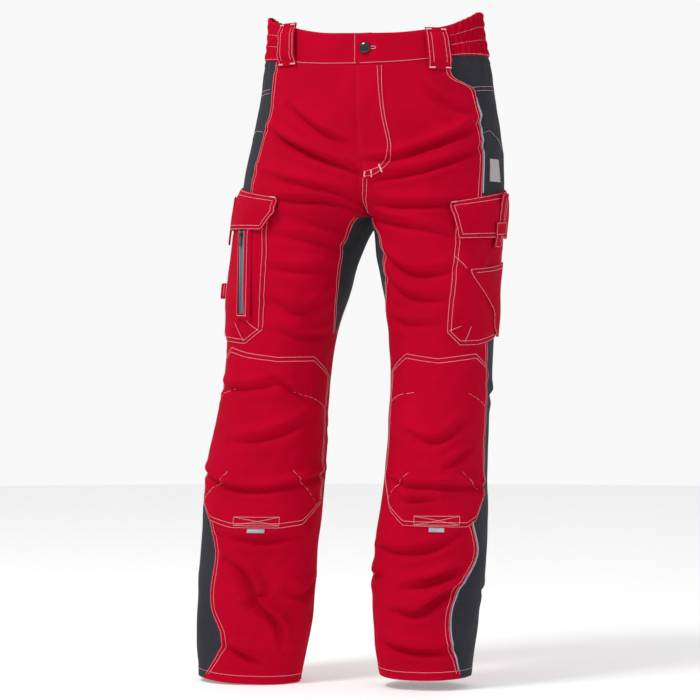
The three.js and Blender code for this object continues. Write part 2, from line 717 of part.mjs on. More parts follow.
function addSmallPieces() {
  const face = LAY + CARGO_DEPTH;
  const phone = patch(LEFT, 0.36, 0.54, -382, -482, 8, 5, face + LAY, face + LAY + PATCH);
  add("phone_pocket", phone, RED);
  const { flapBottom } = CARGO[LEFT];
  const strapLow = face + FLAP_CLEARANCE + PATCH + 0.7;
  const strap = patch(LEFT, 0.465, 0.495, flapBottom + 62, flapBottom - 12, 2, 6, strapLow, strapLow + 1.2);
  add("flap_strap", strap, GREY);
  const pen = patch(RIGHT, 0.46, 0.48, -262, -306, 2, 5, strapLow, strapLow + 1.2);
  add("pen_strap", pen, GREY);
  const label = patch(LEFT, 0.415, 0.468, -207, -243, 4, 3, LAY, LAY + PATCH);
  add("label_patch", label, LINING);
  const tabLow = LAY + CARGO_DEPTH + 0.6;
  add("side_tab", patch(RIGHT, 0.49, 0.52, -400, -424, 3, 3, tabLow, tabLow + 1.4), GREY);
}

function addBackPocket(side) {
  const body = tray(side, {
    from: 0.69, to: 0.87, top: -118, bottom: -262, low: LAY, depth: 8, wall: PATCH, columns: 7, rows: 4,
  });
  add(`back_pocket_${sideName(side)}`, body, RED);
}

// ---- knee pockets, open at the bottom for a knee pad
function addKneePocket(side) {
  const [from, to] = side === RIGHT ? [0.03, 0.43] : [0.085, 0.455];
  const top = KNEE_Z + KNEE_PATCH_TOP;
  const bottom = KNEE_Z - KNEE_PATCH_BOTTOM;
  const corner = (p) => 24 * Math.max(Math.abs(2 * p - 1) - 0.6, 0) * 2.5;
  const body = tray(side, {
    from, to, top: (p) => top - corner(p), bottom: (p) => bottom + corner(p),
    low: LAY, depth: 9.6, wall: PATCH, columns: 10, rows: 7, mouth: "bottom",
  });
  add(`knee_pocket_${sideName(side)}`, body, RED);
}

for (const side of [RIGHT, LEFT]) {
  addShell(side);
  addHandPocket(side);
  addCargo(side);
  addBackPocket(side);
  addKneePocket(side);
  addBeltLoop(`belt_loop_front_${sideName(side)}`, side, side === RIGHT ? 0.235 : 0.224);
  addBeltLoop(`belt_loop_back_${sideName(side)}`, side, 0.7);
}
addBeltLoop("belt_loop_back_centre", LEFT, 1);
addWaistband();
addButton();
addFly();
addCargoZip();
addSmallPieces();

export default trousers;
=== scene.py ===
# %% [markdown]
# # Work trousers: cloth, stitching and fastenings
# Every piece is a surface worked out from the same body of the garment that the frame has:
# two superellipse legs that grow into one hip. A point of the cloth is
#
#     cloth(side, u, z, offset) = skin(side, u, z) + normal * (offset + relief + ease)
#
# where u runs round the body, z runs down it, offset is the layer that a piece lies in, relief is
# the sum of the creases, gathers and soft waves, and ease rounds the body at the crotch. All
# layers share them, so a pocket, its flap and its stitches follow the cloth that they are sewn on.

import bmesh
import bpy
import numpy as np
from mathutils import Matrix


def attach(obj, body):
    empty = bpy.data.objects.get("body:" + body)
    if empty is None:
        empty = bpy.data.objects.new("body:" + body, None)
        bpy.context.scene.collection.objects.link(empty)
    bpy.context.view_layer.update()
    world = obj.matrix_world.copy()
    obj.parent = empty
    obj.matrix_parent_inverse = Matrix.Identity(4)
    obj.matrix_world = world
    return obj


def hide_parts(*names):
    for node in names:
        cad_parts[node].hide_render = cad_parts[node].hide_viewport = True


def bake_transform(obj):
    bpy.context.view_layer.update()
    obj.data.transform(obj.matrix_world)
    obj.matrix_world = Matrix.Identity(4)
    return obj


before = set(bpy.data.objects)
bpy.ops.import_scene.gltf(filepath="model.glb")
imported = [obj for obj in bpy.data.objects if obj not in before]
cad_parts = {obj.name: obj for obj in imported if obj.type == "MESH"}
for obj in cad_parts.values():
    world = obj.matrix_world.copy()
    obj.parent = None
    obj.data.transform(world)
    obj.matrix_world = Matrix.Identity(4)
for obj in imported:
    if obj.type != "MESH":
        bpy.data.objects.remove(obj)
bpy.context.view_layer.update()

# %% The view, and a small library of numbers
MM = 0.001
RIGHT, LEFT = -1, 1
SIDE_NAME = {RIGHT: "right", LEFT: "left"}
RISE, INSEAM, KNEE_DROP = 296.0, 737.0, 354.0
CROTCH, KNEE, HEM = -RISE, -RISE - KNEE_DROP, -RISE - INSEAM
MERGE, FULLNESS = 120.0, 2.2
PITCH = 4.0
LEG_TOP = -62.0
CAMERA_AZIMUTH = np.radians(14)
CAMERA_DISTANCE = 4.0


def add_camera():
    """A level camera, CAMERA_DISTANCE from the garment's axis and half way up the garment."""
    data = bpy.data.cameras.new("camera")
    data.lens = 128.57
    data.sensor_width = 36
    camera = bpy.data.objects.new("camera", data)
    bpy.context.scene.collection.objects.link(camera)
    out = np.array([np.sin(CAMERA_AZIMUTH), -np.cos(CAMERA_AZIMUTH), 0.0])
    middle = np.array([-0.0386, -0.0096, -0.507])
    camera.location = middle + CAMERA_DISTANCE * out
    camera.rotation_euler = (np.pi / 2, 0, CAMERA_AZIMUTH)
    bpy.context.scene.camera = camera
    print("camera at", tuple(camera.location))


add_camera()


def smooth(low, high, x):
    """Smoothstep: 0 below low, 1 above high, 3t^2 - 2t^3 between."""
    t = np.clip((np.asarray(x, float) - low) / (high - low), 0, 1)
    return t * t * (3 - 2 * t)


def lerp(a, b, t):
    """a at t = 0 and b at t = 1."""
    return a + (b - a) * t


def curve(stations):
    """A Hermite curve y(x) through the stations, each slope weighed from its two neighbours."""
    x, y = np.array(sorted(stations), float).T
    step = np.diff(x)
    slope = np.diff(y) / step
    tangent = np.concatenate([slope[:1], np.zeros(len(x) - 2), slope[-1:]])
    tangent[1:-1] = (slope[:-1] * step[1:] + slope[1:] * step[:-1]) / (step[1:] + step[:-1])

    def at(value):
        """y at the value, held level past both ends."""
        v = np.clip(np.asarray(value, float), x[0], x[-1])
        i = np.clip(np.searchsorted(x, v) - 1, 0, len(x) - 2)
        t = (v - x[i]) / step[i]
        return (
            (2 * t**3 - 3 * t**2 + 1) * y[i]
            + (t**3 - 2 * t**2 + t) * step[i] * tangent[i]
            + (3 * t**2 - 2 * t**3) * y[i + 1]
            + (t**3 - t**2) * step[i] * tangent[i + 1]
        )

    return at


def straight(stations):
    """y(x) in straight parts between the stations, for an edge with cut corners."""
    x, y = np.array(sorted(stations), float).T
    return lambda value: np.interp(value, x, y)


def hip(share):
    """z at a share of the way from the waist down to the crotch."""
    return -RISE * share


def thigh(share):
    """z at a share of the way from the crotch down to the knee."""
    return CROTCH - KNEE_DROP * share


def shin(share):
    """z at a share of the way from the knee down to the hem."""
    return KNEE - (INSEAM - KNEE_DROP) * share


# %% The body of the garment, as sections down its height
THIGHS = [thigh(s) for s in (0.15, 0.3, 0.53, 0.72)]
SHINS = [shin(s) for s in (0.06, 0.48, 0.73, 0.9, 1)]
LEVELS = [hip(s) for s in (-0.14, 0, 0.27, 0.5, 0.71, 0.93)] + THIGHS + SHINS
LEG_LEVELS = [CROTCH] + THIGHS + SHINS
OUT_RIGHT = [171, 172, 183, 196, 210, 221, 230, 235, 240, 246, 270, 290, 294, 295, 293]
OUT_LEFT = [171, 174, 190, 200, 205, 203, 199, 195, 190, 188, 182, 180, 168, 160, 153]
IN_RIGHT = [0, 25, 43, 68, 76, 84, 96, 105, 117, 125]
IN_LEFT = [0, 4, 14, 25, 30, 21, 3, -3, 4, 13]
FRONT_Y = [-106, -108, -115, -119, -118, -111, -104, -98, -91, -87, -86, -74, -66, -62, -60]
BACK_Y = [110, 112, 121, 133, 138, 130, 119, 108, 95, 90, 86, 75, 69, 65, 62]
OUTSIDE = {RIGHT: curve(zip(LEVELS, OUT_RIGHT)), LEFT: curve(zip(LEVELS, OUT_LEFT))}
INSIDE = {RIGHT: curve(zip(LEG_LEVELS, IN_RIGHT)), LEFT: curve(zip(LEG_LEVELS, IN_LEFT))}
FRONT = curve(zip(LEVELS, FRONT_Y))
BACK = curve(zip(LEVELS, BACK_Y))


def power(value, exponent):
    """The signed power sign(v) |v|^e."""
    return np.sign(value) * np.abs(value) ** exponent


def skin(side, u, z):
    """Points and level normals of the body, in millimetres.

    x = cx - a cos(phi)^(2/n) and y = cy - b sin(phi)^(2/n), with phi = 2 pi u below the crotch.
    Above it the section is cut at the middle plane, and phi starts and ends at the cut.
    """
    u, z = np.broadcast_arrays(np.asarray(u, float), np.asarray(z, float))
    merge = np.clip((z - CROTCH) / MERGE, 0, 1)
    out = OUTSIDE[side](z)
    inn = np.where(z > CROTCH, -merge * out, INSIDE[side](z))
    cx, a = (out + inn) / 2, (out - inn) / 2
    front, back = FRONT(z), BACK(z)
    cy, b = (front + back) / 2, (back - front) / 2
    cut = np.arccos(np.clip(cx / a, 0, 1) ** (FULLNESS / 2))
    cut = np.where(z > CROTCH, cut, 0)
    ease = np.where(cut > 1e-6, 1 + 0.55 * (np.pi / np.maximum(cut, 1e-6) - 2), 1)
    w = 1 - 2 * u
    phi = 2 * np.pi * u + cut * power(w, np.minimum(ease, 9))
    c, s = np.cos(phi), np.sin(phi)
    x = cx - a * power(c, 2 / FULLNESS)
    y = cy - b * power(s, 2 / FULLNESS)
    nx = -power(c, 2 - 2 / FULLNESS) / a
    ny = -power(s, 2 - 2 / FULLNESS) / b
    length = np.hypot(nx, ny)
    in_half = (u >= 0) & (u <= 1) & (z >= CROTCH)
    x = np.where(in_half, np.maximum(x, 0.1), x)
    points = np.stack([side * x, y, z], -1)
    normals = np.stack([side * nx / length, ny / length, np.zeros_like(z)], -1)
    return points, normals


GIRTH_LEVELS = np.linspace(20, -1045, 72)


def girth_curve(side):
    """The way round one half of the body, in millimetres, by height."""
    u = np.linspace(0, 1, 181)[None, :]
    points, _ = skin(side, u, GIRTH_LEVELS[:, None])
    lengths = np.linalg.norm(np.diff(points, axis=1), axis=2).sum(1)
    return curve(zip(GIRTH_LEVELS, lengths))


GIRTH = {side: girth_curve(side) for side in (RIGHT, LEFT)}
print("way round at the hip and the knee", GIRTH[LEFT](-150.0), GIRTH[LEFT](-650.0))

# %% [markdown]
# ## Seams
# Each seam is u as a curve of z, so that a panel's two edges are two curves.

# %% Seams
BAND_LINE = curve([(0, -62), (0.1, -60), (0.18, -56), (0.27, -49), (0.5, -42), (1, -38)])
BAND_TIP = [(0.48, 29), (0.58, 25), (0.72, 15), (1, 12)]
RIGHT_TOP = [(0, -13), (0.1, -10), (0.2, 0), (0.27, 9), (0.36, 17)]
LEFT_TOP = [(0, -13), (0.1, -13), (0.19, -8), (0.27, -1), (0.36, 12), (0.48, 27)]
BAND_TOP = {RIGHT: curve(RIGHT_TOP + BAND_TIP), LEFT: curve(LEFT_TOP + BAND_TIP[1:])}
HEM_LINE = {
    RIGHT: curve([(-0.1, -1040), (0.25, -1040), (0.42, -1034), (0.7, -1034), (1.1, -1040)]),
    LEFT: curve([(-0.1, -1018), (0.2, -1026), (0.5, -1023), (0.8, -1026), (1.1, -1018)]),
}
RIGHT_SEAM = [(-45, 0.31), (-90, 0.288), (-136, 0.288), (-186, 0.314), (-246, 0.357)]
RIGHT_SEAM += [(thigh(0.3), 0.43), (thigh(0.6), 0.46), (shin(0.3), 0.39), (shin(0.43), 0.347)]
RIGHT_SEAM += [(shin(0.7), 0.353), (shin(0.86), 0.31), (shin(1), 0.385)]
LEFT_SEAM = [(-45, 0.25), (-67, 0.262), (-98, 0.286), (-107, 0.338), (-120, 0.351), (-173, 0.353)]
LEFT_SEAM += [(-226, 0.384), (thigh(0.3), 0.44), (thigh(0.6), 0.46), (shin(0.33), 0.4)]
LEFT_SEAM += [(shin(0.46), 0.43), (shin(0.63), 0.36), (shin(0.8), 0.355), (shin(1), 0.418)]
FRONT_SEAM = {RIGHT: curve(RIGHT_SEAM), LEFT: curve(LEFT_SEAM)}
BACK_SEAM = curve([(-40, 0.56), (CROTCH, 0.6), (KNEE, 0.6), (HEM, 0.62)])
GUSSET_BOTTOM = thigh(0.53)
GUSSET = {
    RIGHT: curve([(CROTCH, 0.088), (thigh(0.06), 0.09), (thigh(0.3), 0.06), (GUSSET_BOTTOM, 0.0)]),
    LEFT: curve([(CROTCH, 0.07), (thigh(0.12), 0.115), (thigh(0.27), 0.11), (GUSSET_BOTTOM, 0.0)]),
}
print("front seams end at u", FRONT_SEAM[RIGHT](HEM), FRONT_SEAM[LEFT](HEM))


def gusset_edge(side, z):
    """u of the gusset's edge: 0 above the crotch and below the gusset's tip."""
    inside = (z <= CROTCH) & (z >= GUSSET_BOTTOM)
    return np.where(inside, GUSSET[side](z), 0)


# %% [markdown]
# ## Relief
# A crease is a polyline over the cloth with a valley along it and a ridge on either side. With d
# the distance across it over its width, and t the share along it,
#
#   depth * ease(t) * (-exp(-d^2) + lift exp(-((d + 1.7) / 1.2)^2) + 0.4 exp(-((d - 1.9) / 1.4)^2))

# %% Creases
FOLD_DEPTH, FOLD_WIDTH = 2.4, 0.68
LONG_FOLD = [(0.3, -842), (0.26, -856), (0.235, -885), (0.225, -915), (0.16, -940), (0.13, -978)]
# Creases: side, depth and width in millimetres, lift of the upper ridge, and the way as (u, z)
CREASES = [
    (RIGHT, 3.6, 8, 0.9, [(0.2, -122), (0.1, -163), (0.02, -188)]),
    (RIGHT, 4.8, 9, 1.0, [(0.27, -160), (0.1, -205), (-0.01, -233)]),
    (RIGHT, 2.6, 12, 0.8, [(0.33, -228), (0.15, -252), (0.01, -276)]),
    (RIGHT, 3.2, 8, 1.0, [(0.27, -274), (0.16, -271), (0.04, -287)]),
    (RIGHT, 2.2, 9, 0.7, [(0.07, -345), (0.2, -333), (0.28, -327)]),
    (RIGHT, 2.8, 10, 0.9, [(0.1, -374), (0.19, -382), (0.27, -379)]),
    (RIGHT, 3.2, 11, 0.9, [(0.26, -430), (0.17, -452), (0.09, -424)]),
    (RIGHT, 2.0, 12, 0.8, [(0.06, -300), (0.15, -312), (0.26, -300)]),
    (RIGHT, 2.4, 9, 0.8, [(0.04, -480), (0.14, -488), (0.24, -476)]),
    (RIGHT, 3.0, 10, 0.9, [(0.43, -566), (0.3, -571), (0.19, -557)]),
    (RIGHT, 2.6, 8, 0.9, [(0.22, -552), (0.17, -572), (0.12, -584)]),
    (RIGHT, 3.2, 11, 0.9, [(0.32, -655), (0.22, -648), (0.09, -610)]),
    (RIGHT, 3.4, 8, 1.0, [(0.46, -700), (0.38, -712), (0.27, -732), (0.17, -724), (-0.02, -703)]),
    (RIGHT, 3.0, 10, 0.8, [(0.33, -804), (0.22, -812), (0.1, -800)]),
    (RIGHT, 5.6, 9, 1.0, LONG_FOLD),
    (RIGHT, 4.4, 9, 0.9, [(0.3, -980), (0.25, -993), (0.2, -1004)]),
    (RIGHT, 3.0, 11, 0.8, [(0.0, -880), (0.07, -905), (0.14, -892)]),
    (LEFT, 4.2, 9, 1.0, [(0.02, -214), (0.09, -210), (0.19, -189), (0.36, -150)]),
    (LEFT, 3.6, 9, 0.9, [(0.05, -242), (0.19, -229), (0.36, -189)]),
    (LEFT, 3.6, 9, 1.0, [(0.06, -277), (0.2, -284), (0.34, -281)]),
    (LEFT, 3.0, 9, 0.9, [(0.08, -295), (0.22, -314), (0.33, -330)]),
    (LEFT, 3.4, 10, 0.9, [(0.12, -354), (0.22, -395), (0.33, -380)]),
    (LEFT, 3.0, 9, 0.9, [(0.12, -394), (0.2, -429), (0.31, -428)]),
    (LEFT, 2.4, 10, 0.8, [(0.08, -450), (0.18, -470), (0.29, -466)]),
    (LEFT, 2.4, 10, 0.8, [(0.16, -95), (0.22, -128), (0.32, -140)]),
    (LEFT, 3.4, 10, 0.9, [(0.18, -634), (0.28, -656), (0.36, -616)]),
    (LEFT, 3.0, 8, 0.9, [(0.31, -690), (0.39, -660)]),
    (LEFT, 3.2, 8, 1.0, [(0.12, -708), (0.2, -721), (0.3, -719), (0.47, -722)]),
    (LEFT, 2.6, 8, 0.8, [(0.19, -744), (0.28, -736)]),
    (LEFT, 3.6, 10, 0.9, [(0.08, -819), (0.22, -826), (0.3, -813), (0.36, -786)]),
    (LEFT, 5.0, 10, 0.9, [(0.21, -880), (0.3, -867), (0.37, -845)]),
    (LEFT, 5.6, 9, 1.0, [(0.19, -917), (0.25, -924), (0.3, -897), (0.36, -878)]),
    (LEFT, 4.2, 9, 0.9, [(0.12, -968), (0.26, -983), (0.37, -977)]),
    (LEFT, 2.6, 10, 0.8, [(0.0, -850), (0.06, -872), (0.14, -862)]),
] + [
    (side, depth, width, lift, way)
    for side in (RIGHT, LEFT)
    for depth, width, lift, way in (
        (2.4, 12, 0.9, [(0.96, -268), (0.85, -292), (0.7, -282)]),
        (2.0, 11, 0.9, [(0.94, -300), (0.8, -330), (0.66, -318)]),
        (2.6, 12, 0.8, [(0.9, -380), (0.76, -392), (0.64, -378)]),
        (2.8, 10, 1.0, [(0.94, -632), (0.8, -648), (0.64, -634)]),
        (2.4, 10, 1.0, [(0.92, -662), (0.78, -672), (0.62, -668)]),
        (2.0, 10, 0.9, [(0.9, -694), (0.78, -706), (0.66, -696)]),
        (1.8, 11, 0.8, [(0.9, -820), (0.76, -838), (0.64, -826)]),
        (2.2, 10, 0.9, [(0.92, -930), (0.78, -946), (0.64, -932)]),
        (2.0, 10, 0.9, [(0.9, -975), (0.76, -990), (0.66, -978)]),
        (1.6, 10, 0.8, [(0.5, -880), (0.56, -900), (0.62, -890)]),
        (1.6, 10, 0.8, [(0.46, -560), (0.52, -585), (0.58, -570)]),
    )
]


def rounded(way, times=2):
    """A polyline with its corners cut: each part keeps its points at 1/4 and 3/4."""
    way = np.asarray(way, float)
    for _ in range(times):
        cut = [lerp(way[:-1], way[1:], share) for share in (0.25, 0.75)]
        inside = np.stack(cut, 1).reshape(-1, 2)[1:-1]
        way = np.concatenate([way[:1], inside, way[-1:]])
    return way


def one_crease(s, z, way, width, depth, lift):
    """The relief of one crease at the points (s, z), all in millimetres."""
    way = np.asarray(way, float)
    lengths = np.linalg.norm(np.diff(way, axis=0), axis=1)
    starts = np.concatenate([[0], np.cumsum(lengths)])
    nearest = np.full(s.shape, np.inf)
    signed = np.zeros(s.shape)
    share = np.zeros(s.shape)
    for k, length in enumerate(lengths):
        along = (way[k + 1] - way[k]) / length
        across = np.array([along[1], -along[0]]) * np.sign(along[0] if abs(along[0]) > 0.3 else 1)
        ds, dz = s - way[k, 0], z - way[k, 1]
        t = np.clip(ds * along[0] + dz * along[1], 0, length)
        rs, rz = ds - t * along[0], dz - t * along[1]
        distance = np.hypot(rs, rz)
        closer = distance < nearest
        nearest = np.where(closer, distance, nearest)
        sign = np.sign(rs * across[0] + rz * across[1])
        signed = np.where(closer, sign * distance, signed)
        share = np.where(closer, (starts[k] + t) / starts[-1], share)
    d = signed / (FOLD_WIDTH * width)
    ease = np.sin(np.pi * (0.06 + 0.88 * share)) ** 0.8
    valley = -np.exp(-(d**2))
    ridges = lift * np.exp(-(((d + 1.7) / 1.2) ** 2)) + 0.4 * np.exp(-(((d - 1.9) / 1.4) ** 2))
    return FOLD_DEPTH * depth * ease * (valley + ridges)


ROUND_CREASES = [(*crease[:4], rounded(crease[4])) for crease in CREASES]
print("creases", len(CREASES))


def creases(side, u, z):
    """All creases near the points. s = side * u * girth is continuous over the middle front."""
    total = np.zeros(z.shape)
    girth = GIRTH[side](z)
    below = z < CROTCH
    for own, depth, width, lift, way in ROUND_CREASES:
        middle = way[:, 0].mean()
        near = (z < way[:, 1].max() + 60) & (z > way[:, 1].min() - 60)
        if own != side:
            near &= z > CROTCH
        if not near.any():
            continue
        wrapped = np.where(below, u - np.round(u - middle), u)
        s = wrapped * girth * (1 if own == side else -1)
        lines = np.stack([way[:, 0] * GIRTH[own](way[:, 1]), way[:, 1]], 1)
        share = 1.0 if own == side else smooth(CROTCH, CROTCH + 26, z[near])
        total[near] += share * one_crease(s[near], z[near], lines, width, depth, lift)
    return total


def waves(points):
    """Soft waves, as a sum of sines of the place in space, so that no seam shows a step."""
    x, y, z = points[..., 0], points[..., 1], points[..., 2]
    return (
        0.9 * np.sin(x / 31 + z / 47 + 0.4)
        + 0.7 * np.sin(x / 19 - z / 33 + y / 40 + 2.1)
        + 0.45 * np.sin(x / 11 + z / 17 + y / 23 + 4.0)
        + 0.25 * np.sin(x / 6.5 - z / 9 + y / 8 + 1.3)
    )


def gathers(side, u, z):
    """Cloth drawn up by the elastic: waves 12 mm apart round the waist, that fade down the hip."""
    s = u * GIRTH[side](z)
    place = smooth(0.245, 0.29, u) * (1 - smooth(0.68, 0.72, u))
    inside = smooth(-62, -46, z)
    fade = smooth(-150, -52, z) ** 2
    lean = 2.2 * np.sin(z / 13 + 7 * u) + 1.1 * np.sin(z / 5 + 31 * u)
    fine = np.sin(2 * np.pi * s / 12.5 + lean) * (0.72 + 0.28 * np.cos(2 * np.pi * (z + 20) / 15.5))
    broad = np.sin(2 * np.pi * s / 29 + 0.6 * lean)
    return place * (inside * 2.3 * fine + (1 - inside) * fade * (1.6 * broad + 0.7 * fine))


def calm(side, u, z):
    """0 where hard fittings lie, so that the cloth stays as the frame has it, 1 elsewhere."""
    near_zip = 0.0
    if side == RIGHT:
        near_zip = smooth(0.27, 0.3, u) * (1 - smooth(0.37, 0.4, u))
        near_zip = near_zip * smooth(-478, -462, z) * (1 - smooth(-316, -300, z))
    near_button = (1 - smooth(0.05, 0.09, np.abs(u))) * smooth(-68, -60, z)
    return (1 - near_zip) * (1 - near_button)


def body_depth(side, x, z, way):
    """y of the body's front (way -1) or back (way 1) at x millimetres out from the middle."""
    merge = np.clip((z - CROTCH) / MERGE, 0, 1)
    out = OUTSIDE[side](z)
    inn = np.where(z > CROTCH, -merge * out, INSIDE[side](z))
    cx, a = (out + inn) / 2, (out - inn) / 2
    cy, b = (FRONT(z) + BACK(z)) / 2, (BACK(z) - FRONT(z)) / 2
    share = np.clip(np.abs(x - cx) / a, 0, 1)
    return cy + way * b * (1 - share**FULLNESS) ** (1 / FULLNESS)


EASE_REACH, EASE_MOST = 34.0, 5.0


def crotch_ease(side, points, normals):
    """Rounds the fold that the body has at the height of the crotch.

    A fold of slope step J, averaged over reach h to both sides, is filled by J (h - |dz|)^2 / 4h.
    """
    x, z = side * points[..., 0], points[..., 2]
    away = np.clip(EASE_REACH - np.abs(z - CROTCH), 0, None)
    way = np.where(normals[..., 1] > 0, 1.0, -1.0)
    levels = [CROTCH + d for d in (0.6, 0.1, -0.1, -0.6)]
    a, b, c, d = (body_depth(side, x, np.full(z.shape, level), way) for level in levels)
    fill = ((a - b) - (c - d)) / 0.5 * away**2 / (4 * EASE_REACH) * normals[..., 1]
    out = float(OUTSIDE[side](CROTCH))
    inside = 1 - smooth(0.86, 0.985, np.abs(2 * x / out - 1))
    return inside * EASE_MOST * np.tanh(fill / EASE_MOST)


def relief(side, u, z, points):
    """The whole relief, outwards, in millimetres, eased off at the waistband and at the hem."""
    band = 1 - smooth(-72, -56, z)
    worked = creases(side, u, z) * band + waves(points) * (0.35 + 0.65 * band)
    return calm(side, u, z) * (worked + gathers(side, u, z))


def cloth(side, u, z, offset=0.0):
    """Points and normals of a layer of the garment, in millimetres."""
    u, z = np.broadcast_arrays(np.asarray(u, float), np.asarray(z, float))
    points, normals = skin(side, u, z)
    height = relief(side, u, z, points) + crotch_ease(side, points, normals) + offset
    return points + normals * height[..., None], normals


# %% [markdown]
# ## Materials
# One weave group gives every cloth its twill: diagonal ribs from two crossed waves on the piece's
# own UV map, which is in metres. Colour, roughness and sheen stay in each material.

# %% Node groups
def link_nodes(tree, source, output, target, socket):
    """A link from a named output to a named input."""
    tree.links.new(source.outputs[output], target.inputs[socket])


def math_node(tree, operation, first, second=None):
    """A Math node fed by sockets or numbers."""
    node = tree.nodes.new("ShaderNodeMath")
    node.operation = operation
    for slot_number, value in enumerate((first, second)):
        if value is None:
            continue
        if isinstance(value, (int, float)):
            node.inputs[slot_number].default_value = value
        else:
            tree.links.new(value, node.inputs[slot_number])
    return node.outputs[0]


def weave_group():
    """Twill from UV metres: 0.3 sin(k (x + 1.7 y)) + 0.2 sin(1.9 k (x - 0.4 y)) + slubs."""
    group = bpy.data.node_groups.new("weave", "ShaderNodeTree")
    group.interface.new_socket("Rib", in_out="INPUT", socket_type="NodeSocketFloat")
    group.interface.new_socket("Height", in_out="OUTPUT", socket_type="NodeSocketFloat")
    group.interface.new_socket("Slub", in_out="OUTPUT", socket_type="NodeSocketFloat")
    nodes, links = group.nodes, group.links
    enter, leave = nodes.new("NodeGroupInput"), nodes.new("NodeGroupOutput")
    uv = nodes.new("ShaderNodeUVMap")
    uv.uv_map = "cut"
    split = nodes.new("ShaderNodeSeparateXYZ")
    links.new(uv.outputs["UV"], split.inputs[0])
    x, y, rib = split.outputs[0], split.outputs[1], enter.outputs["Rib"]

    def times(first, second):
        """The product of two sockets or numbers."""
        return math_node(group, "MULTIPLY", first, second)

    diagonal = math_node(group, "ADD", x, times(y, 1.7))
    cross = math_node(group, "SUBTRACT", x, times(y, 0.4))
    warp = math_node(group, "SINE", times(diagonal, rib))
    weft = math_node(group, "SINE", times(cross, times(rib, 1.9)))
    both = math_node(group, "ADD", times(warp, 0.3), times(weft, 0.2))
    slubs = nodes.new("ShaderNodeTexNoise")
    slubs.inputs["Scale"].default_value = 900
    slubs.inputs["Detail"].default_value = 2
    links.new(uv.outputs["UV"], slubs.inputs["Vector"])
    links.new(math_node(group, "ADD", both, slubs.outputs["Fac"]), leave.inputs["Height"])
    links.new(slubs.outputs["Fac"], leave.inputs["Slub"])
    return group


def wear_group():
    """Cloudy dye and worn edges: masks from slow noise and the cloth's "worn" attribute."""
    group = bpy.data.node_groups.new("wear", "ShaderNodeTree")
    group.interface.new_socket("Clouds", in_out="OUTPUT", socket_type="NodeSocketFloat")
    group.interface.new_socket("Worn", in_out="OUTPUT", socket_type="NodeSocketFloat")
    nodes, links = group.nodes, group.links
    leave = nodes.new("NodeGroupOutput")
    place = nodes.new("ShaderNodeTexCoord")
    clouds = nodes.new("ShaderNodeTexNoise")
    clouds.inputs["Scale"].default_value = 14
    clouds.inputs["Detail"].default_value = 4
    links.new(place.outputs["Object"], clouds.inputs["Vector"])
    worn = nodes.new("ShaderNodeAttribute")
    worn.attribute_name = "worn"
    grain = nodes.new("ShaderNodeTexNoise")
    grain.inputs["Scale"].default_value = 260
    links.new(place.outputs["Object"], grain.inputs["Vector"])
    links.new(clouds.outputs["Fac"], leave.inputs["Clouds"])
    patchy = math_node(group, "MULTIPLY", worn.outputs["Fac"], grain.outputs["Fac"])
    links.new(patchy, leave.inputs["Worn"])
    return group


WEAVE, WEAR = weave_group(), wear_group()


def linear(red, green, blue):
    """A colour given in sRGB 0..255, as linear light."""
    values = np.array([red, green, blue]) / 255
    low = values / 12.92
    high = ((values + 0.055) / 1.055) ** 2.4
    return (*np.where(values <= 0.04045, low, high), 1.0)


def mix_colour(tree, share, first, second):
    """A Mix node between two colours, each a tuple or a socket."""
    node = tree.nodes.new("ShaderNodeMix")
    node.data_type = "RGBA"
    tree.links.new(share, node.inputs["Factor"])
    for name, value in (("A", first), ("B", second)):
        socket = next(s for s in node.inputs if s.name == name and s.type == "RGBA")
        if isinstance(value, tuple):
            socket.default_value = value
        else:
            tree.links.new(value, socket)
    return next(s for s in node.outputs if s.type == "RGBA")


CLOTH_ROUGHNESS = 0.86


def cloth_material(name, colour, dark, pale, rib=6500.0, sheen=0.18, bump=0.0001, specular=0.12):
    """Twill cloth: dyed between dark and colour by slow clouds, pale where it is worn."""
    material = bpy.data.materials.new(name)
    material.use_nodes = True
    tree = material.node_tree
    shader = tree.nodes["Principled BSDF"]
    weave, wear = tree.nodes.new("ShaderNodeGroup"), tree.nodes.new("ShaderNodeGroup")
    weave.node_tree, wear.node_tree = WEAVE, WEAR
    weave.inputs["Rib"].default_value = rib
    clouds = tree.nodes.new("ShaderNodeMapRange")
    clouds.inputs["From Min"].default_value = 0.3
    clouds.inputs["From Max"].default_value = 0.7
    link_nodes(tree, wear, "Clouds", clouds, "Value")
    dyed = mix_colour(tree, clouds.outputs[0], dark, colour)
    ribs = math_node(tree, "MULTIPLY", weave.outputs["Height"], 0.22)
    ribbed = mix_colour(tree, ribs, dyed, dark)
    worn = math_node(tree, "MULTIPLY", wear.outputs["Worn"], 0.3)
    tree.links.new(mix_colour(tree, worn, ribbed, pale), shader.inputs["Base Color"])
    raised = tree.nodes.new("ShaderNodeBump")
    raised.inputs["Strength"].default_value = 0.6
    raised.inputs["Distance"].default_value = bump
    link_nodes(tree, weave, "Height", raised, "Height")
    link_nodes(tree, raised, "Normal", shader, "Normal")
    shader.inputs["Roughness"].default_value = CLOTH_ROUGHNESS
    shader.inputs["Sheen Weight"].default_value = sheen
    shader.inputs["Sheen Roughness"].default_value = 0.5
    shader.inputs["Specular IOR Level"].default_value = specular
    return material


GRAIN_SCALE = 220.0


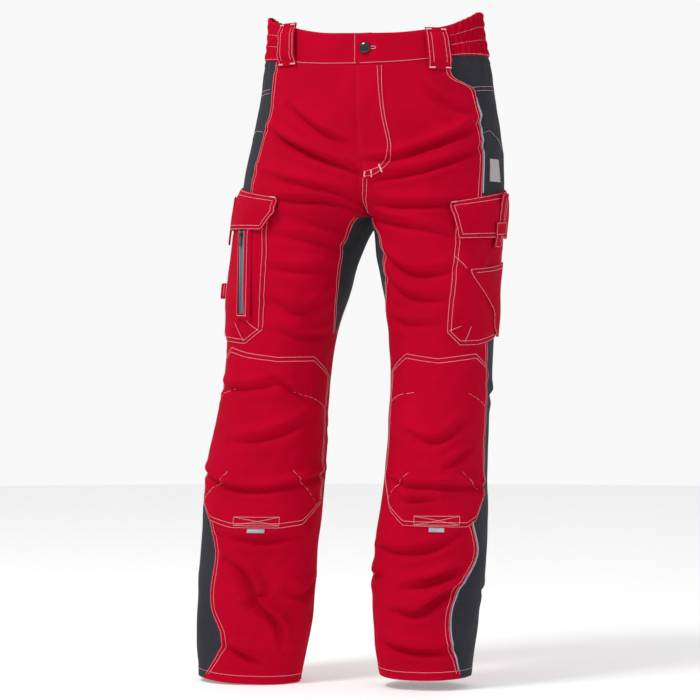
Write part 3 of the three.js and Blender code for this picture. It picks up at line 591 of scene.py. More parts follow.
def hard_material(name, colour, second, roughness, metallic=0.0, coat=0.0):
    """Metal, plastic or thread: two near colours and a roughness that a fine noise varies."""
    material = bpy.data.materials.new(name)
    material.use_nodes = True
    tree = material.node_tree
    shader = tree.nodes["Principled BSDF"]
    place = tree.nodes.new("ShaderNodeTexCoord")
    noise = tree.nodes.new("ShaderNodeTexNoise")
    noise.inputs["Scale"].default_value = GRAIN_SCALE
    link_nodes(tree, place, "Object", noise, "Vector")
    mixed = mix_colour(tree, noise.outputs["Fac"], colour, second)
    tree.links.new(mixed, shader.inputs["Base Color"])
    rough = math_node(tree, "MULTIPLY", noise.outputs["Fac"], roughness * 0.5)
    tree.links.new(math_node(tree, "ADD", rough, roughness * 0.75), shader.inputs["Roughness"])
    shader.inputs["Metallic"].default_value = metallic
    shader.inputs["Coat Weight"].default_value = coat
    return material


RED = cloth_material(
    "red_twill",
    linear(188, 0, 40),
    linear(174, 0, 35),
    linear(202, 34, 64),
    sheen=0.0,
    specular=0.05,
)
GREY = cloth_material(
    "grey_twill", linear(51, 51, 58), linear(43, 44, 50), linear(90, 92, 98), sheen=0.03
)
LINING = cloth_material(
    "pocket_lining", linear(48, 50, 56), linear(38, 40, 46), linear(90, 92, 96), rib=9000.0
)
LABEL = cloth_material(
    "label_cloth", linear(176, 172, 174), linear(156, 152, 156), linear(210, 208, 208), rib=12000.0
)
TAPE = cloth_material(
    "zip_tape",
    linear(126, 132, 144),
    linear(106, 112, 124),
    linear(160, 164, 172),
    rib=11000.0,
    sheen=0.1,
)
THREAD = hard_material("thread", linear(238, 208, 212), linear(222, 180, 188), 0.7)
SILVER = hard_material("reflective_piping", linear(172, 180, 188), linear(132, 140, 150), 0.4, 0.1)
METAL = hard_material("zip_metal", linear(120, 124, 130), linear(84, 88, 94), 0.32, 1.0)
TEETH = hard_material("zip_teeth", linear(104, 110, 122), linear(70, 76, 88), 0.4)
BLACK = hard_material("button_black", linear(10, 10, 12), linear(18, 18, 20), 0.2, 0.0, 0.4)
HOOKS = cloth_material(
    "hook_and_loop",
    linear(34, 34, 38),
    linear(24, 24, 28),
    linear(60, 60, 64),
    rib=5200.0,
    bump=0.0004,
)
print("materials", [material.name for material in bpy.data.materials])

# %% [markdown]
# ## Building a piece
# A piece is a patch of the cloth between two u curves and two z curves, with p and q from 0 to 1
# across and down it. It is closed: an outer face, an inner face and a rim. Its outer face falls
# away over the last millimetres before an edge, as turned and pressed cloth does:
#
#     edge(d) = drop (1 - sqrt(1 - (1 - d / r)^2)) for d < r, where d is the distance to the edge

# %% Grids and meshes
COLLECTION = bpy.context.scene.collection


def grid_object(name, points, quads, material, uv=None, worn=None, crisp=0):
    """A mesh of quads in metres, from arrays of points in millimetres and of corners.

    The last crisp quads are flat, so that a rim doesn't tilt the shading of the faces beside it.
    """
    quads = np.asarray(quads, np.int32)
    mesh = bpy.data.meshes.new(name)
    mesh.vertices.add(len(points))
    mesh.vertices.foreach_set("co", (np.asarray(points) * MM).astype(np.float32).ravel())
    mesh.loops.add(quads.size)
    mesh.loops.foreach_set("vertex_index", quads.ravel())
    mesh.polygons.add(len(quads))
    mesh.polygons.foreach_set("loop_start", np.arange(0, quads.size, 4, dtype=np.int32))
    mesh.polygons.foreach_set("use_smooth", np.arange(len(quads)) < len(quads) - crisp)
    layer = mesh.uv_layers.new(name="cut")
    flat = np.zeros((len(points), 2)) if uv is None else uv
    layer.data.foreach_set("uv", flat[quads.ravel()].astype(np.float32).ravel())
    attribute = mesh.attributes.new("worn", "FLOAT", "POINT")
    values = np.zeros(len(points)) if worn is None else worn
    attribute.data.foreach_set("value", values.astype(np.float32))
    mesh.update(calc_edges=True)
    mesh.validate()
    mesh.materials.append(material)
    piece = bpy.data.objects.new(name, mesh)
    COLLECTION.objects.link(piece)
    return piece


def grid_quads(rows, columns, start=0):
    """Corners of the quads of a grid of rows x columns points."""
    j, i = np.meshgrid(np.arange(rows - 1), np.arange(columns - 1), indexing="ij")
    a = start + j * columns + i
    return np.stack([a, a + 1, a + 1 + columns, a + columns], -1).reshape(-1, 4)


def rim_quads(ring, count):
    """Quads that join a ring of outer points to the same ring of the inner face."""
    nxt = np.roll(ring, -1)
    return np.stack([ring, ring + count, nxt + count, nxt], -1)


def ring_quads(rows, turns):
    """Quads between rows of points that each go once round."""
    j, i = np.meshgrid(np.arange(rows - 1), np.arange(turns), indexing="ij")
    nxt = (i + 1) % turns
    corners = j * turns + i, j * turns + nxt, (j + 1) * turns + nxt, (j + 1) * turns + i
    return np.stack(corners, -1).reshape(-1, 4)


def shell_parts(outer, inner, worn):
    """Points, face quads, rim quads, UVs and wear of a closed shell whose faces point out."""
    rows, columns, _ = outer.shape
    count = rows * columns
    index = np.arange(count).reshape(rows, columns)
    ring = np.concatenate([index[0, :-1], index[:-1, -1], index[-1, :0:-1], index[:0:-1, 0]])
    faces = np.concatenate([grid_quads(rows, columns), grid_quads(rows, columns, count)[:, ::-1]])
    rim = rim_quads(ring, count)
    quads = np.concatenate([faces, rim])
    points = np.concatenate([outer.reshape(-1, 3), inner.reshape(-1, 3)])
    a, b, c, d = (points[quads[:, k]] for k in range(4))
    volume = sum(np.einsum("ij,ij->i", a, np.cross(*two)).sum() for two in ((b, c), (c, d)))
    if volume < 0:
        faces, rim = faces[:, ::-1], rim[:, ::-1]
    across = np.linalg.norm(np.diff(outer, axis=1, prepend=outer[:, :1]), axis=2).cumsum(1)
    down = np.linalg.norm(np.diff(outer, axis=0, prepend=outer[:1]), axis=2).cumsum(0)
    uv = np.stack([across, down], -1).reshape(-1, 2) * MM
    return points, faces, rim, np.tile(uv, (2, 1)), np.tile(worn.ravel(), 2)


def shell(name, material, *grids):
    """One piece of one or more closed shells, each given as its outer grid, inner grid and wear."""
    parts = [shell_parts(*grid) for grid in grids]
    starts = np.cumsum([0] + [len(part[0]) for part in parts[:-1]])
    points = np.concatenate([part[0] for part in parts])
    faces = np.concatenate([part[1] + start for part, start in zip(parts, starts)])
    rims = np.concatenate([part[2] + start for part, start in zip(parts, starts)])
    uv = np.concatenate([part[3] for part in parts])
    worn = np.concatenate([part[4] for part in parts])
    quads = np.concatenate([faces, rims])
    return grid_object(name, points, quads, material, uv, worn, crisp=len(rims))


def spaced(length, pitch=PITCH):
    """Shares from 0 to 1 along a length in millimetres: close together at both ends."""
    if length < 30:
        return np.linspace(0, 1, max(int(length / 1.2), 4) + 1)
    ends = np.array([0, 0.5, 1.4, 2.8, 4.8, 7.4])
    middle = np.linspace(10.5, length - 10.5, max(int((length - 21) / pitch), 2) + 1)
    return np.concatenate([ends, middle, length - ends[::-1]]) / length


def edge_fall(distance, drop, reach):
    """How far cloth falls at an edge: drop at the edge and 0 from reach inwards."""
    share = np.clip(1 - distance / reach, 0, 1)
    return drop * (1 - np.sqrt(1 - share**2))


def pucker(distance, along, size=0.35):
    """Small waves that a double row of stitches draws up within 12 mm of an edge."""
    wave = np.sin(along / 1.9 + 1.4 * np.sin(along / 13)) + 0.5 * np.sin(along / 3.7 + 1)
    return size * wave * np.exp(-(((distance - 5.5) / 4.5) ** 2))


class Patch:
    """A piece of cloth between two u curves and two z curves.

    z(p, q) = lerp(top(p), bottom(p), q) and u(p, q) = lerp(left(z), right(z), p).
    height(patch, p, q) is the outer face's offset from the body, in millimetres.
    """

    def __init__(self, side, left, right, top, bottom, height, rows=None):
        """Edges are curves or numbers. rows lists runs of shares, where they aren't even."""
        def as_curve(value):
            """A number as a curve that is level everywhere."""
            return value if callable(value) else (lambda _: value)

        self.side = side
        self.left, self.right = as_curve(left), as_curve(right)
        self.top, self.bottom = as_curve(top), as_curve(bottom)
        self.height = height
        self.rows = rows

    def place(self, p, q):
        """(u, z) of the share (p, q)."""
        p, q = np.broadcast_arrays(np.asarray(p, float), np.asarray(q, float))
        z = self.top(p) + (self.bottom(p) - self.top(p)) * q
        return lerp(self.left(z), self.right(z), p) + 0 * z, z + 0 * p

    def size(self):
        """Width and height through the middle, in millimetres."""
        line = np.linspace(0, 1, 60)
        half = np.full(60, 0.5)
        across, _ = skin(self.side, *self.place(line, half))
        down, _ = skin(self.side, *self.place(half, line))
        return tuple(np.linalg.norm(np.diff(way, axis=0), axis=1).sum() for way in (across, down))

    def edges(self, p, q):
        """Distances in millimetres to the left, right, top and bottom edges."""
        u, z = self.place(p, q)
        width = np.abs(self.right(z) - self.left(z)) * GIRTH[self.side](z)
        tall = np.abs(self.top(p) - self.bottom(p))
        return p * width, (1 - p) * width, q * tall, (1 - q) * tall

    def surface(self, p, q, sink=0.0):
        """Points and normals of the outer face, or sink millimetres under it."""
        p, q = np.broadcast_arrays(np.asarray(p, float), np.asarray(q, float))
        u, z = self.place(p, q)
        return cloth(self.side, u, z, self.height(self, p, q) - sink)

    def faces(self, shares, pitch, thickness, inner):
        """The outer grid, the inner grid and the wear of the rows at the given shares."""
        q, p = np.meshgrid(shares, spaced(self.size()[0], pitch), indexing="ij")
        outer, _ = self.surface(p, q)
        if inner is None:
            under, _ = self.surface(p, q, thickness)
        else:
            under, _ = cloth(self.side, *self.place(p, q), inner(self, p, q))
        worn = np.exp(-np.minimum.reduce(self.edges(p, q)) / 2.0)
        return outer, under, worn

    def build(self, name, material, thickness=1.2, pitch=PITCH, inner=None):
        """The closed piece. inner(patch, p, q) gives the offset of an uneven inner face."""
        runs = [spaced(self.size()[1], pitch)] if self.rows is None else self.rows
        self.flat = self.cut_size()
        return shell(name, material, *(self.faces(run, pitch, thickness, inner) for run in runs))

    def cut_size(self):
        """Widest row, longest column and area of the cut piece, in metres and square metres."""
        q, p = np.meshgrid(np.linspace(0, 1, 200), np.linspace(0, 1, 60), indexing="ij")
        points, _ = skin(self.side, *self.place(p, q))
        return flat_size(points)


def flat_size(points):
    """Widest row, longest column and area of a grid in millimetres, given in metres."""
    across = np.linalg.norm(np.diff(points, axis=1), axis=2)
    down = np.linalg.norm(np.diff(points, axis=0), axis=2)
    corners = points[:-1, :-1], points[:-1, 1:], points[1:, 1:], points[1:, :-1]
    diagonals = np.cross(corners[2] - corners[0], corners[3] - corners[1])
    area = np.linalg.norm(diagonals, axis=2).sum() / 2
    width, length = across.sum(1).max() * MM, down.sum(0).max() * MM
    return width, length, min(area * MM * MM, width * length)


SHEETS = []  # name, width, length and area of each piece of cloth
print("a piece 300 mm long has", len(spaced(300.0)), "rows")


def finish_piece(piece, patch, body, nodes):
    """Attaches a piece to its body, or bakes its place for a leg, hides the nodes it stands for and
    keeps its cut size.
    """
    if body in ("leg_right", "leg_left"):
        bend_at_knee(piece)
    else:
        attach(piece, body)
    if nodes:
        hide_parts(*nodes)
    width, length, area = patch.flat
    SHEETS.append((piece.name, round(width, 3), round(length, 3), round(area, 4)))
    return piece


def bend_at_knee(piece):
    """Bakes the piece's transform into its mesh, without bending it at the knee."""
    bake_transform(piece)


# %% [markdown]
# ## Stitching
# A stitch is a grain of thread: three rings of four points, thick in the middle, so that each has
# only ten faces. A row is walked at an even pitch over the layer that it is sewn into, and rows
# that move together are one piece.

# %% Threads
STITCH, STITCH_PITCH, THREAD_RADIUS = 2.5, 3.4, 0.36
THREADS = {}
print("stitches of", STITCH, "mm every", STITCH_PITCH, "mm")


def walk(points, normals, step):
    """Points and normals every step millimetres along a line."""
    lengths = np.linalg.norm(np.diff(points, axis=0), axis=1)
    run = np.concatenate([[0], np.cumsum(lengths)])
    marks = np.arange(0, run[-1], step)
    at = np.stack([np.interp(marks, run, points[:, k]) for k in range(3)], 1)
    out = np.stack([np.interp(marks, run, normals[:, k]) for k in range(3)], 1)
    return at, out / np.linalg.norm(out, axis=1)[:, None]


def grains(starts, ends, outs, radius):
    """Points (n, 12, 3) of the stitches from starts to ends: rings of 0.55, 1 and 0.55 radius."""
    along = ends - starts
    along /= np.linalg.norm(along, axis=1)[:, None]
    sideways = np.cross(along, outs)
    sideways /= np.linalg.norm(sideways, axis=1)[:, None]
    rings = []
    for share, size, lift in ((0, 0.55, -0.25), (0.5, 1, 0.25), (1, 0.55, -0.25)):
        centre = starts + (ends - starts) * share + outs * radius * lift
        for a, b in ((1, 0), (0, 1), (-1, 0), (0, -1)):
            rings.append(centre + radius * size * (a * sideways + b * outs))
    return np.stack(rings, 1)


def add_grains(group, starts, ends, outs, radius=THREAD_RADIUS):
    """Adds stitches to the rows that move together as one group."""
    if len(starts):
        THREADS.setdefault(group, []).append(grains(starts, ends, outs, radius))


def stitch_line(group, points, normals, pitch=STITCH_PITCH, length=STITCH):
    """A row of stitches along a line that lies on the cloth."""
    at, out = walk(points + normals * 0.22, normals, 0.5)
    step, reach = int(pitch / 0.5), int(length / 0.5)
    first = np.arange(0, len(at) - reach, step)
    add_grains(group, at[first], at[first + reach], out[first + reach // 2])


def dense(way, step=3.0):
    """A polyline of (u, z) refined so that its parts are short."""
    way = np.asarray(way, float)
    parts = np.hypot(np.diff(way[:, 0]) * 600, np.diff(way[:, 1]))
    run = np.concatenate([[0], np.cumsum(parts)])
    marks = np.linspace(0, run[-1], max(int(run[-1] / step), 2) + 1)
    return np.interp(marks, run, way[:, 0]), np.interp(marks, run, way[:, 1])


BEND_START = -545.0


def split_row(side, points, normals):
    """A row of stitches in two pieces: the part below BEND_START goes to the leg's own stitching."""
    upper = points[:, 2] > BEND_START
    for group, part in (("trousers", upper), (f"leg_{SIDE_NAME[side]}", ~upper)):
        if part.sum() > 2:
            stitch_line(group, points[part], normals[part])


def sew(side, way, offset=0.0, group=None):
    """A row of stitches along a way of (u, z), offset from the body."""
    points, normals = cloth(side, *dense(way), offset)
    if group is None:
        split_row(side, points, normals)
    else:
        stitch_line(group, points, normals)


def edge_row(panel, shift):
    """A row of stitches on a leg panel, shift millimetres inside its outer edge."""
    q = np.linspace(0.003, 0.993, 330)
    level = LEG_TOP + (HEM - LEG_TOP) * q
    width = (panel.right(level) - panel.left(level)) * GIRTH[panel.side](level)
    split_row(panel.side, *panel.surface(1 - shift / width, q))


def sew_patch(patch, ways, group):
    """Rows of stitches on a patch, given in its own shares (p, q)."""
    for way in ways:
        way = np.asarray(way, float)
        count = 60
        t = np.linspace(0, 1, (len(way) - 1) * count + 1)
        p = np.interp(t, np.linspace(0, 1, len(way)), way[:, 0])
        q = np.interp(t, np.linspace(0, 1, len(way)), way[:, 1])
        points, normals = patch.surface(p, q)
        stitch_line(group, points, normals)


def around(patch, inset, edges="ltrb"):
    """Ways (p, q) along the named edges of a patch, inset millimetres inside them."""
    width, tall = patch.size()
    a, b = inset / width, inset / tall
    corners = {"lt": (a, b), "rt": (1 - a, b), "rb": (1 - a, 1 - b), "lb": (a, 1 - b)}
    ways = {
        "l": [corners["lt"], corners["lb"]],
        "r": [corners["rt"], corners["rb"]],
        "t": [corners["lt"], corners["rt"]],
        "b": [corners["lb"], corners["rb"]],
    }
    return [ways[edge] for edge in edges]


def bar_tack(group, side, start, end, offset, width=2.6, pitch=0.75):
    """A dense bar of thread from start to end, each (u, z): stitches laid across the bar."""
    (u0, z0), (u1, z1) = start, end
    t = np.linspace(0, 1, 24)
    points, normals = cloth(side, lerp(u0, u1, t), lerp(z0, z1, t), offset + 0.35)
    at, out = walk(points, normals, pitch)
    along = np.gradient(at, axis=0)
    across = np.cross(along, out)
    across *= width / 2 / np.linalg.norm(across, axis=1)[:, None]
    add_grains(group, at - across, at + across, out, 0.5)


def build_threads():
    """One piece of thread for each group of rows that moves together."""
    ring = np.arange(4)
    nxt = (ring + 1) % 4
    first_quads = np.stack([ring, nxt, nxt + 4, ring + 4], 1)
    side_quads = np.concatenate([first_quads, first_quads + 4])
    quads = np.concatenate([side_quads, [[3, 2, 1, 0], [8, 9, 10, 11]]])
    for group, parts in THREADS.items():
        points = np.concatenate(parts)
        count = len(points)
        all_quads = (quads[None] + 12 * np.arange(count)[:, None, None]).reshape(-1, 4)
        name = f"stitching_{group}"
        uv = np.tile(np.array([[0.0, 0.0]]), (count * 12, 1))
        piece = grid_object(name, points.reshape(-1, 3), all_quads, THREAD, uv)
        if group in ("leg_right", "leg_left"):
            bend_at_knee(piece)
        else:
            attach(piece, group)
        print(name, count, "stitches")


# %% [markdown]
# ## The legs
# Each leg is three lengths of cloth: red in front, grey over the side, and red behind. A short
# gusset fills the crotch. Rows of the grids are 4 mm apart, and closer at the crotch and the ends.

# %% Leg panels
def leg_rows(split, low=HEM, high=LEG_TOP):
    """Shares down the leg. A split leg has two runs, because its inner edge jumps at the crotch."""
    start = high - np.array([0, 0.5, 1.5, 3])
    near = np.array([2.4, 1.2, 0.5])
    upper = np.concatenate([np.arange(high - 6, CROTCH + 4, -PITCH), CROTCH + near])
    lower = np.concatenate([CROTCH - near[::-1], np.arange(CROTCH - 5, low + 8, -PITCH)])
    end = low + np.array([6, 3, 1.5, 0.5, 0])
    if split:
        runs = [[start, upper, [CROTCH + 0.001]], [[CROTCH], lower, end]]
    else:
        runs = [[start, upper, [CROTCH], lower, end]]
    return [(high - np.concatenate(run)) / (high - low) for run in runs]


class Leg(Patch):
    """A leg panel: its top follows the waistband and its bottom follows the hem."""

    def __init__(self, side, left, right, height, split=True):
        """left and right are u, or curves of the height. split cuts the rows at the crotch."""
        super().__init__(side, left, right, LEG_TOP, HEM, height, leg_rows(split))

    def place(self, p, q):
        """(u, z) of the share (p, q): level rows, bent to the waistband above and the hem below."""
        p, q = np.broadcast_arrays(np.asarray(p, float), np.asarray(q, float))
        level = LEG_TOP + (HEM - LEG_TOP) * q
        u = lerp(self.left(level), self.right(level), p)
        top = (BAND_LINE(u) - LEG_TOP) * smooth(-170, LEG_TOP, level)
        hem = (HEM_LINE[self.side](u) - HEM) * (1 - smooth(HEM, HEM + 75, level))
        return u, level + top + hem


def hem_height(z, hem):
    """The turned hem is half a millimetre proud, below its row of stitches."""
    return 0.6 * (1 - smooth(hem + 11, hem + 14, z))


def front_height(patch, p, q):
    """0 with turned edges, a lifted pocket mouth, and the right side low under the fly."""
    left, right = patch.edges(p, q)[:2]
    u, z = patch.place(p, q)
    fall = edge_fall(right, 0.9, 3) + edge_fall(left, 0.7, 2.5)
    mouth = np.exp(-((right / 14) ** 2)) * smooth(-128, -104, z) * (1 - smooth(-76, -62, z))
    above = smooth(-236, -226, z)
    under_fly = above * (1 - smooth(2, 16, left)) * (1.3 if patch.side == RIGHT else 0)
    wave = pucker(right, z) + hem_height(z, HEM_LINE[patch.side](u))
    return wave + 2.0 * mouth - fall - under_fly


def side_height(patch, p, q):
    """The side cloth lies under both red edges, and runs behind the mouth of the hand pocket."""
    left, right = patch.edges(p, q)[:2]
    u, z = patch.place(p, q)
    behind = 1.5 * smooth(-132, -112, z) * np.exp(-((left / 40) ** 2))
    return -0.35 - behind + hem_height(z, HEM_LINE[patch.side](u)) - edge_fall(right, 0.6, 3)


def back_height(patch, p, q):
    """0 with turned edges, and puckered along the side seam."""
    left, right = patch.edges(p, q)[:2]
    u, z = patch.place(p, q)
    fall = edge_fall(left, 0.9, 3) + edge_fall(right, 0.7, 2.5)
    return pucker(left, z) + hem_height(z, HEM_LINE[patch.side](u)) - fall


def inner_edge(side, way):
    """u of the edge at the middle, the gusset or the inseam: way 1 in front and -1 behind.

    The right front runs on for 5 mm under the left one, down to the foot of the fly.
    """
    if way > 0 and side == RIGHT:
        lap = lambda z: 0.0006 - 0.009 * smooth(-240, -228, z)
        return lambda z: np.where(z > CROTCH, lap(z), gusset_edge(side, z))
    if way > 0:
        return lambda z: np.where(z > CROTCH, 0.0006, gusset_edge(side, z))
    return lambda z: np.where(z > CROTCH, 0.9994, 1 - gusset_edge(side, z))


def side_start(side):
    """The side cloth starts at the front seam, and 16 mm further in behind the pocket's mouth."""
    return lambda z: FRONT_SEAM[side](z) - 0.028 * smooth(-134, -112, z)


def legs():
    """Front, side and back cloth and the gusset of both legs. Gives the front panels by side."""
    fronts = {}
    for side in (RIGHT, LEFT):
        name = SIDE_NAME[side]
        leg = f"leg_{name}"
        front = Leg(side, inner_edge(side, 1), FRONT_SEAM[side], front_height)
        piece = front.build(f"front_leg_{name}", RED)
        fronts[side] = front
        nodes = [f"{node}_{name}" for node in ("front_panel", "knee_front", "shin_panel")]
        finish_piece(piece, front, leg, nodes)
        over = Leg(side, side_start(side), BACK_SEAM, side_height, split=False)
        piece = over.build(f"side_cloth_{name}", GREY)
        nodes = [f"side_panel_{name}", f"lower_side_panel_{name}"]
        finish_piece(piece, over, leg, nodes)
        behind = Leg(side, BACK_SEAM, inner_edge(side, -1), back_height)
        piece = behind.build(f"back_leg_{name}", RED)
        nodes = [f"{node}_{name}" for node in ("back_panel", "knee_back", "calf_panel")]
        finish_piece(piece, behind, leg, nodes)
        edges = [lambda z, side=side, way=way: way * (GUSSET[side](z) + 0.002) for way in (-1, 1)]
        level = lambda patch, p, q: -0.3 + 0 * p
        gusset = Patch(side, *edges, CROTCH - 0.01, GUSSET_BOTTOM + 1, level)
        piece = gusset.build(f"gusset_cloth_{name}", GREY)
        finish_piece(piece, gusset, "trousers", [f"gusset_{name}"])
    return fronts


FRONT_LEGS = legs()
print("legs", [name for name, *_ in SHEETS])

# %% [markdown]
# ## The waistband
# Plain red in front and behind, and drawn up by elastic over both sides, where it rises to a tip.

# %% Waistband and belt loops
BAND_FRONT_END, BAND_BACK_START = 0.24, 0.72


def band_height(patch, p, q):
    """1.5 mm proud, rolled over at the top, and low under the overlap at the right end."""
    left, right, top, bottom = patch.edges(p, q)
    u, _ = patch.place(p, q)
    ends = edge_fall(np.minimum(left, right), 0.8, 2.5)
    tucked = 1.9 * (1 - smooth(-0.012, 0.006, u)) if patch.side == RIGHT else 0
    return 1.5 - edge_fall(top, 2.2, 5) - edge_fall(bottom, 1.2, 3) - ends - tucked


def band_inner(patch, p, q):
    """The inner face meets the rolled top edge."""
    _, _, top, _ = patch.edges(p, q)
    return band_height(patch, p, q) - 2.6 + edge_fall(top, 1.6, 5)


class Band(Patch):
    """A length of the waistband: its top and bottom are curves of u."""

    def __init__(self, side, start, end):
        """start and end are u."""
        super().__init__(side, start, end, 0, 0, band_height)
        self.start, self.end = start, end

    def place(self, p, q):
        """(u, z) of the share (p, q)."""
        p, q = np.broadcast_arrays(np.asarray(p, float), np.asarray(q, float))
        u = lerp(self.start, self.end, p)
        top, low = BAND_TOP[self.side](np.abs(u)), BAND_LINE(np.abs(u)) - 0.6
        return u, lerp(top, low, q)

    def edges(self, p, q):
        """Distances in millimetres to the left, right, top and bottom edges."""
        u, z = self.place(p, q)
        width = (self.end - self.start) * GIRTH[self.side](-20.0)
        top, low = BAND_TOP[self.side](np.abs(u)), BAND_LINE(np.abs(u))
        return p * width, (1 - p) * width, top - z, z - low


def waistband():
    """Six lengths of band, and the rows of stitches that hold them."""
    for side in (RIGHT, LEFT):
        name = SIDE_NAME[side]
        first = -0.0095 if side == LEFT else -0.03
        for part, start, end, pitch, held in (
            ("front", first, BAND_FRONT_END, 3.5, "stretched"),
            ("elastic", BAND_FRONT_END, BAND_BACK_START, 2.2, "gathered"),
            ("back", BAND_BACK_START, 1.0, 3.5, "stretched"),
        ):
            band = Band(side, start, end)
            piece = band.build(f"band_{part}_{name}", RED, pitch=pitch, inner=band_inner)
            node = f"waistband_{part}_{name}"
            finish_piece(piece, band, "trousers", [node])
            u = np.linspace(max(start, 0) + 0.004, end - 0.003, 40)
            sew(side, list(zip(u, BAND_LINE(u) + 1.6)), 1.3, "trousers")
    rows = np.linspace(0.262, 0.7, 60)
    for side in (RIGHT, LEFT):
        for share in (0.36, 0.66):
            low, high = BAND_LINE(rows), BAND_TOP[side](rows)
            sew(side, list(zip(rows, lerp(low, high, share))), 1.2, "trousers")
    sew(LEFT, [(-0.0072, -15), (-0.0068, -38), (-0.006, -60)], 1.4, "trousers")


LOOPS = [
    ("belt_loop_front_right", RIGHT, 0.236, 0.221, 9, -59),
    ("belt_loop_front_left", LEFT, 0.224, 0.222, -5, -71),
    ("belt_loop_back_right", RIGHT, 0.7, 0.7, 14, -49),
    ("belt_loop_back_left", LEFT, 0.7, 0.7, 14, -49),
    ("belt_loop_back_centre", LEFT, 0.999, 0.999, 12, -48),
]
LOOP_HALF = 18.0


def loop_height(patch, p, q):
    """Sewn down at both ends, and standing off between them with room for a belt."""
    left, right, top, bottom = patch.edges(p, q)
    stand = 6.4 * smooth(0.05, 0.28, q) * (1 - smooth(0.72, 0.95, q))
    fall = edge_fall(np.minimum(left, right), 0.9, 3) + edge_fall(np.minimum(top, bottom), 0.9, 3)
    rolled = 0.4 * np.cos(np.minimum(left, right) / 2.2)
    return 3.6 + stand + rolled - fall


def belt_loops():
    """Five wide loops: a middle that leans from u_top to u_low, and 18 mm to either side."""
    for name, side, u_top, u_low, high, low in LOOPS:
        half = LOOP_HALF / GIRTH[side](-20.0)
        lean = lambda z, a=u_top, b=u_low, h=high, w=low: lerp(b, a, (z - w) / (h - w))
        loop = Patch(
            side,
            lambda z, lean=lean, half=half: lean(z) - half,
            lambda z, lean=lean, half=half: lean(z) + half,
            high,
            low,
            loop_height,
        )
        piece = loop.build(f"cloth_{name}", RED, thickness=1.6, pitch=2.5)
        finish_piece(piece, loop, "trousers", [name])
        sew_patch(loop, around(loop, 2.4, "lr") + around(loop, 8.0, "lr"), "trousers")
        for start, end in ((-half + 0.003, -half * 0.45), (half * 0.45, half - 0.003)):
            for z, u in ((high - 3, u_top), (low + 2.5, u_low)):
                bar_tack("trousers", side, (u + start, z), (u + end, z), 4.0, 2.2)


waistband()
belt_loops()
print("bands and loops", len(SHEETS))

# %% [markdown]
# ## The fly
# A placket laps over the zip from the middle to the wearer's left, and its double row of stitches
# turns in a hook at the bottom. Behind it lie the zip and a shield.

# %% Fly
FLY_OUTER = [(-62, 0.0585), (-103, 0.0585), (-144, 0.0645), (-181, 0.0755), (-206, 0.082)]
FLY_OUTER = curve(FLY_OUTER + [(-222, 0.079), (-233, 0.064), (-238, 0.04)])
FLY_INNER = [(-62, 0.046), (-97, 0.048), (-142, 0.055), (-183, 0.067), (-200, 0.0705)]
FLY_INNER = curve(FLY_INNER + [(-214, 0.066), (-226, 0.054), (-230, 0.03)])


def placket_height(patch, p, q):
    """1.5 mm proud, with turned edges on both sides and at the foot."""
    left, right, _, bottom = patch.edges(p, q)
    fall = edge_fall(left, 1.1, 3) + edge_fall(right, 1.3, 4) + edge_fall(bottom, 1.1, 3)
    return 1.5 - fall + pucker(right, q * 170, 0.25)


def shield_height(patch, p, q):
    """Behind the zip, hollow in the middle with room for the slider."""
    return -11.2 - 3 * np.sin(np.pi * p) ** 0.5


def u_at(side, x, z):
    """u on the front where the body is x millimetres from the middle."""
    u = np.linspace(0.0006, 0.2, 200)
    points, _ = skin(side, u, np.full(200, float(z)))
    return float(np.interp(x, side * points[:, 0], u))


def fly():
    """The placket, its hooked double row, the bar tacks, the crotch seam and the shield."""
    edge = curve([(-62, -0.004), (-186, 0.006), (-227, 0.02), (-238, 0.026)])
    placket = Patch(LEFT, edge, FLY_OUTER, -63.5, -237.5, placket_height)
    piece = placket.build("fly_placket_cloth", RED, thickness=1.0, pitch=3)
    finish_piece(piece, placket, "trousers", ["fly_placket"])
    outer = [(float(FLY_OUTER(z)) - 0.004, z) for z in np.linspace(-65, -236, 60)]
    inner = [(float(FLY_INNER(z)) - 0.002, z) for z in np.linspace(-65, -229.5, 60)]
    sew(LEFT, outer + [(0.028, -237)], 1.4, "trousers")
    sew(LEFT, inner, 1.5, "trousers")
    bar_tack("trousers", LEFT, (0.0265, -238), (0.0275, -229), 1.2, 2.4)
    bar_tack("trousers", LEFT, (0.047, -238), (0.045, -228), 1.2, 2.4)
    bar_tack("trousers", LEFT, (0.0755, -231), (0.058, -219), 1.2, 2.4)
    for way in ([(9, -240), (5, -265), (3, -291)], [(15, -241), (11.5, -265), (9, -290)]):
        sew(LEFT, [(u_at(LEFT, x, z), z) for x, z in way], 0.1, "trousers")
    tack = [(u_at(LEFT, x, -290), -290) for x in (2, 10)]
    bar_tack("trousers", LEFT, *tack, 0.1, 2.2)
    shield = Patch(RIGHT, -0.027, 0.066, -64, -222, shield_height)
    piece = shield.build("fly_shield_cloth", LINING, thickness=1.2)
    finish_piece(piece, shield, "trousers", ["fly_shield"])


fly()
print("fly", SHEETS[-2:])

# %% [markdown]
# ## Pockets
# A bellows pocket is a patch whose face stands off its pressed edges:
#
#     height(d) = low + depth (1 - exp(-d / soft)), where d is the distance to the nearest sewn edge

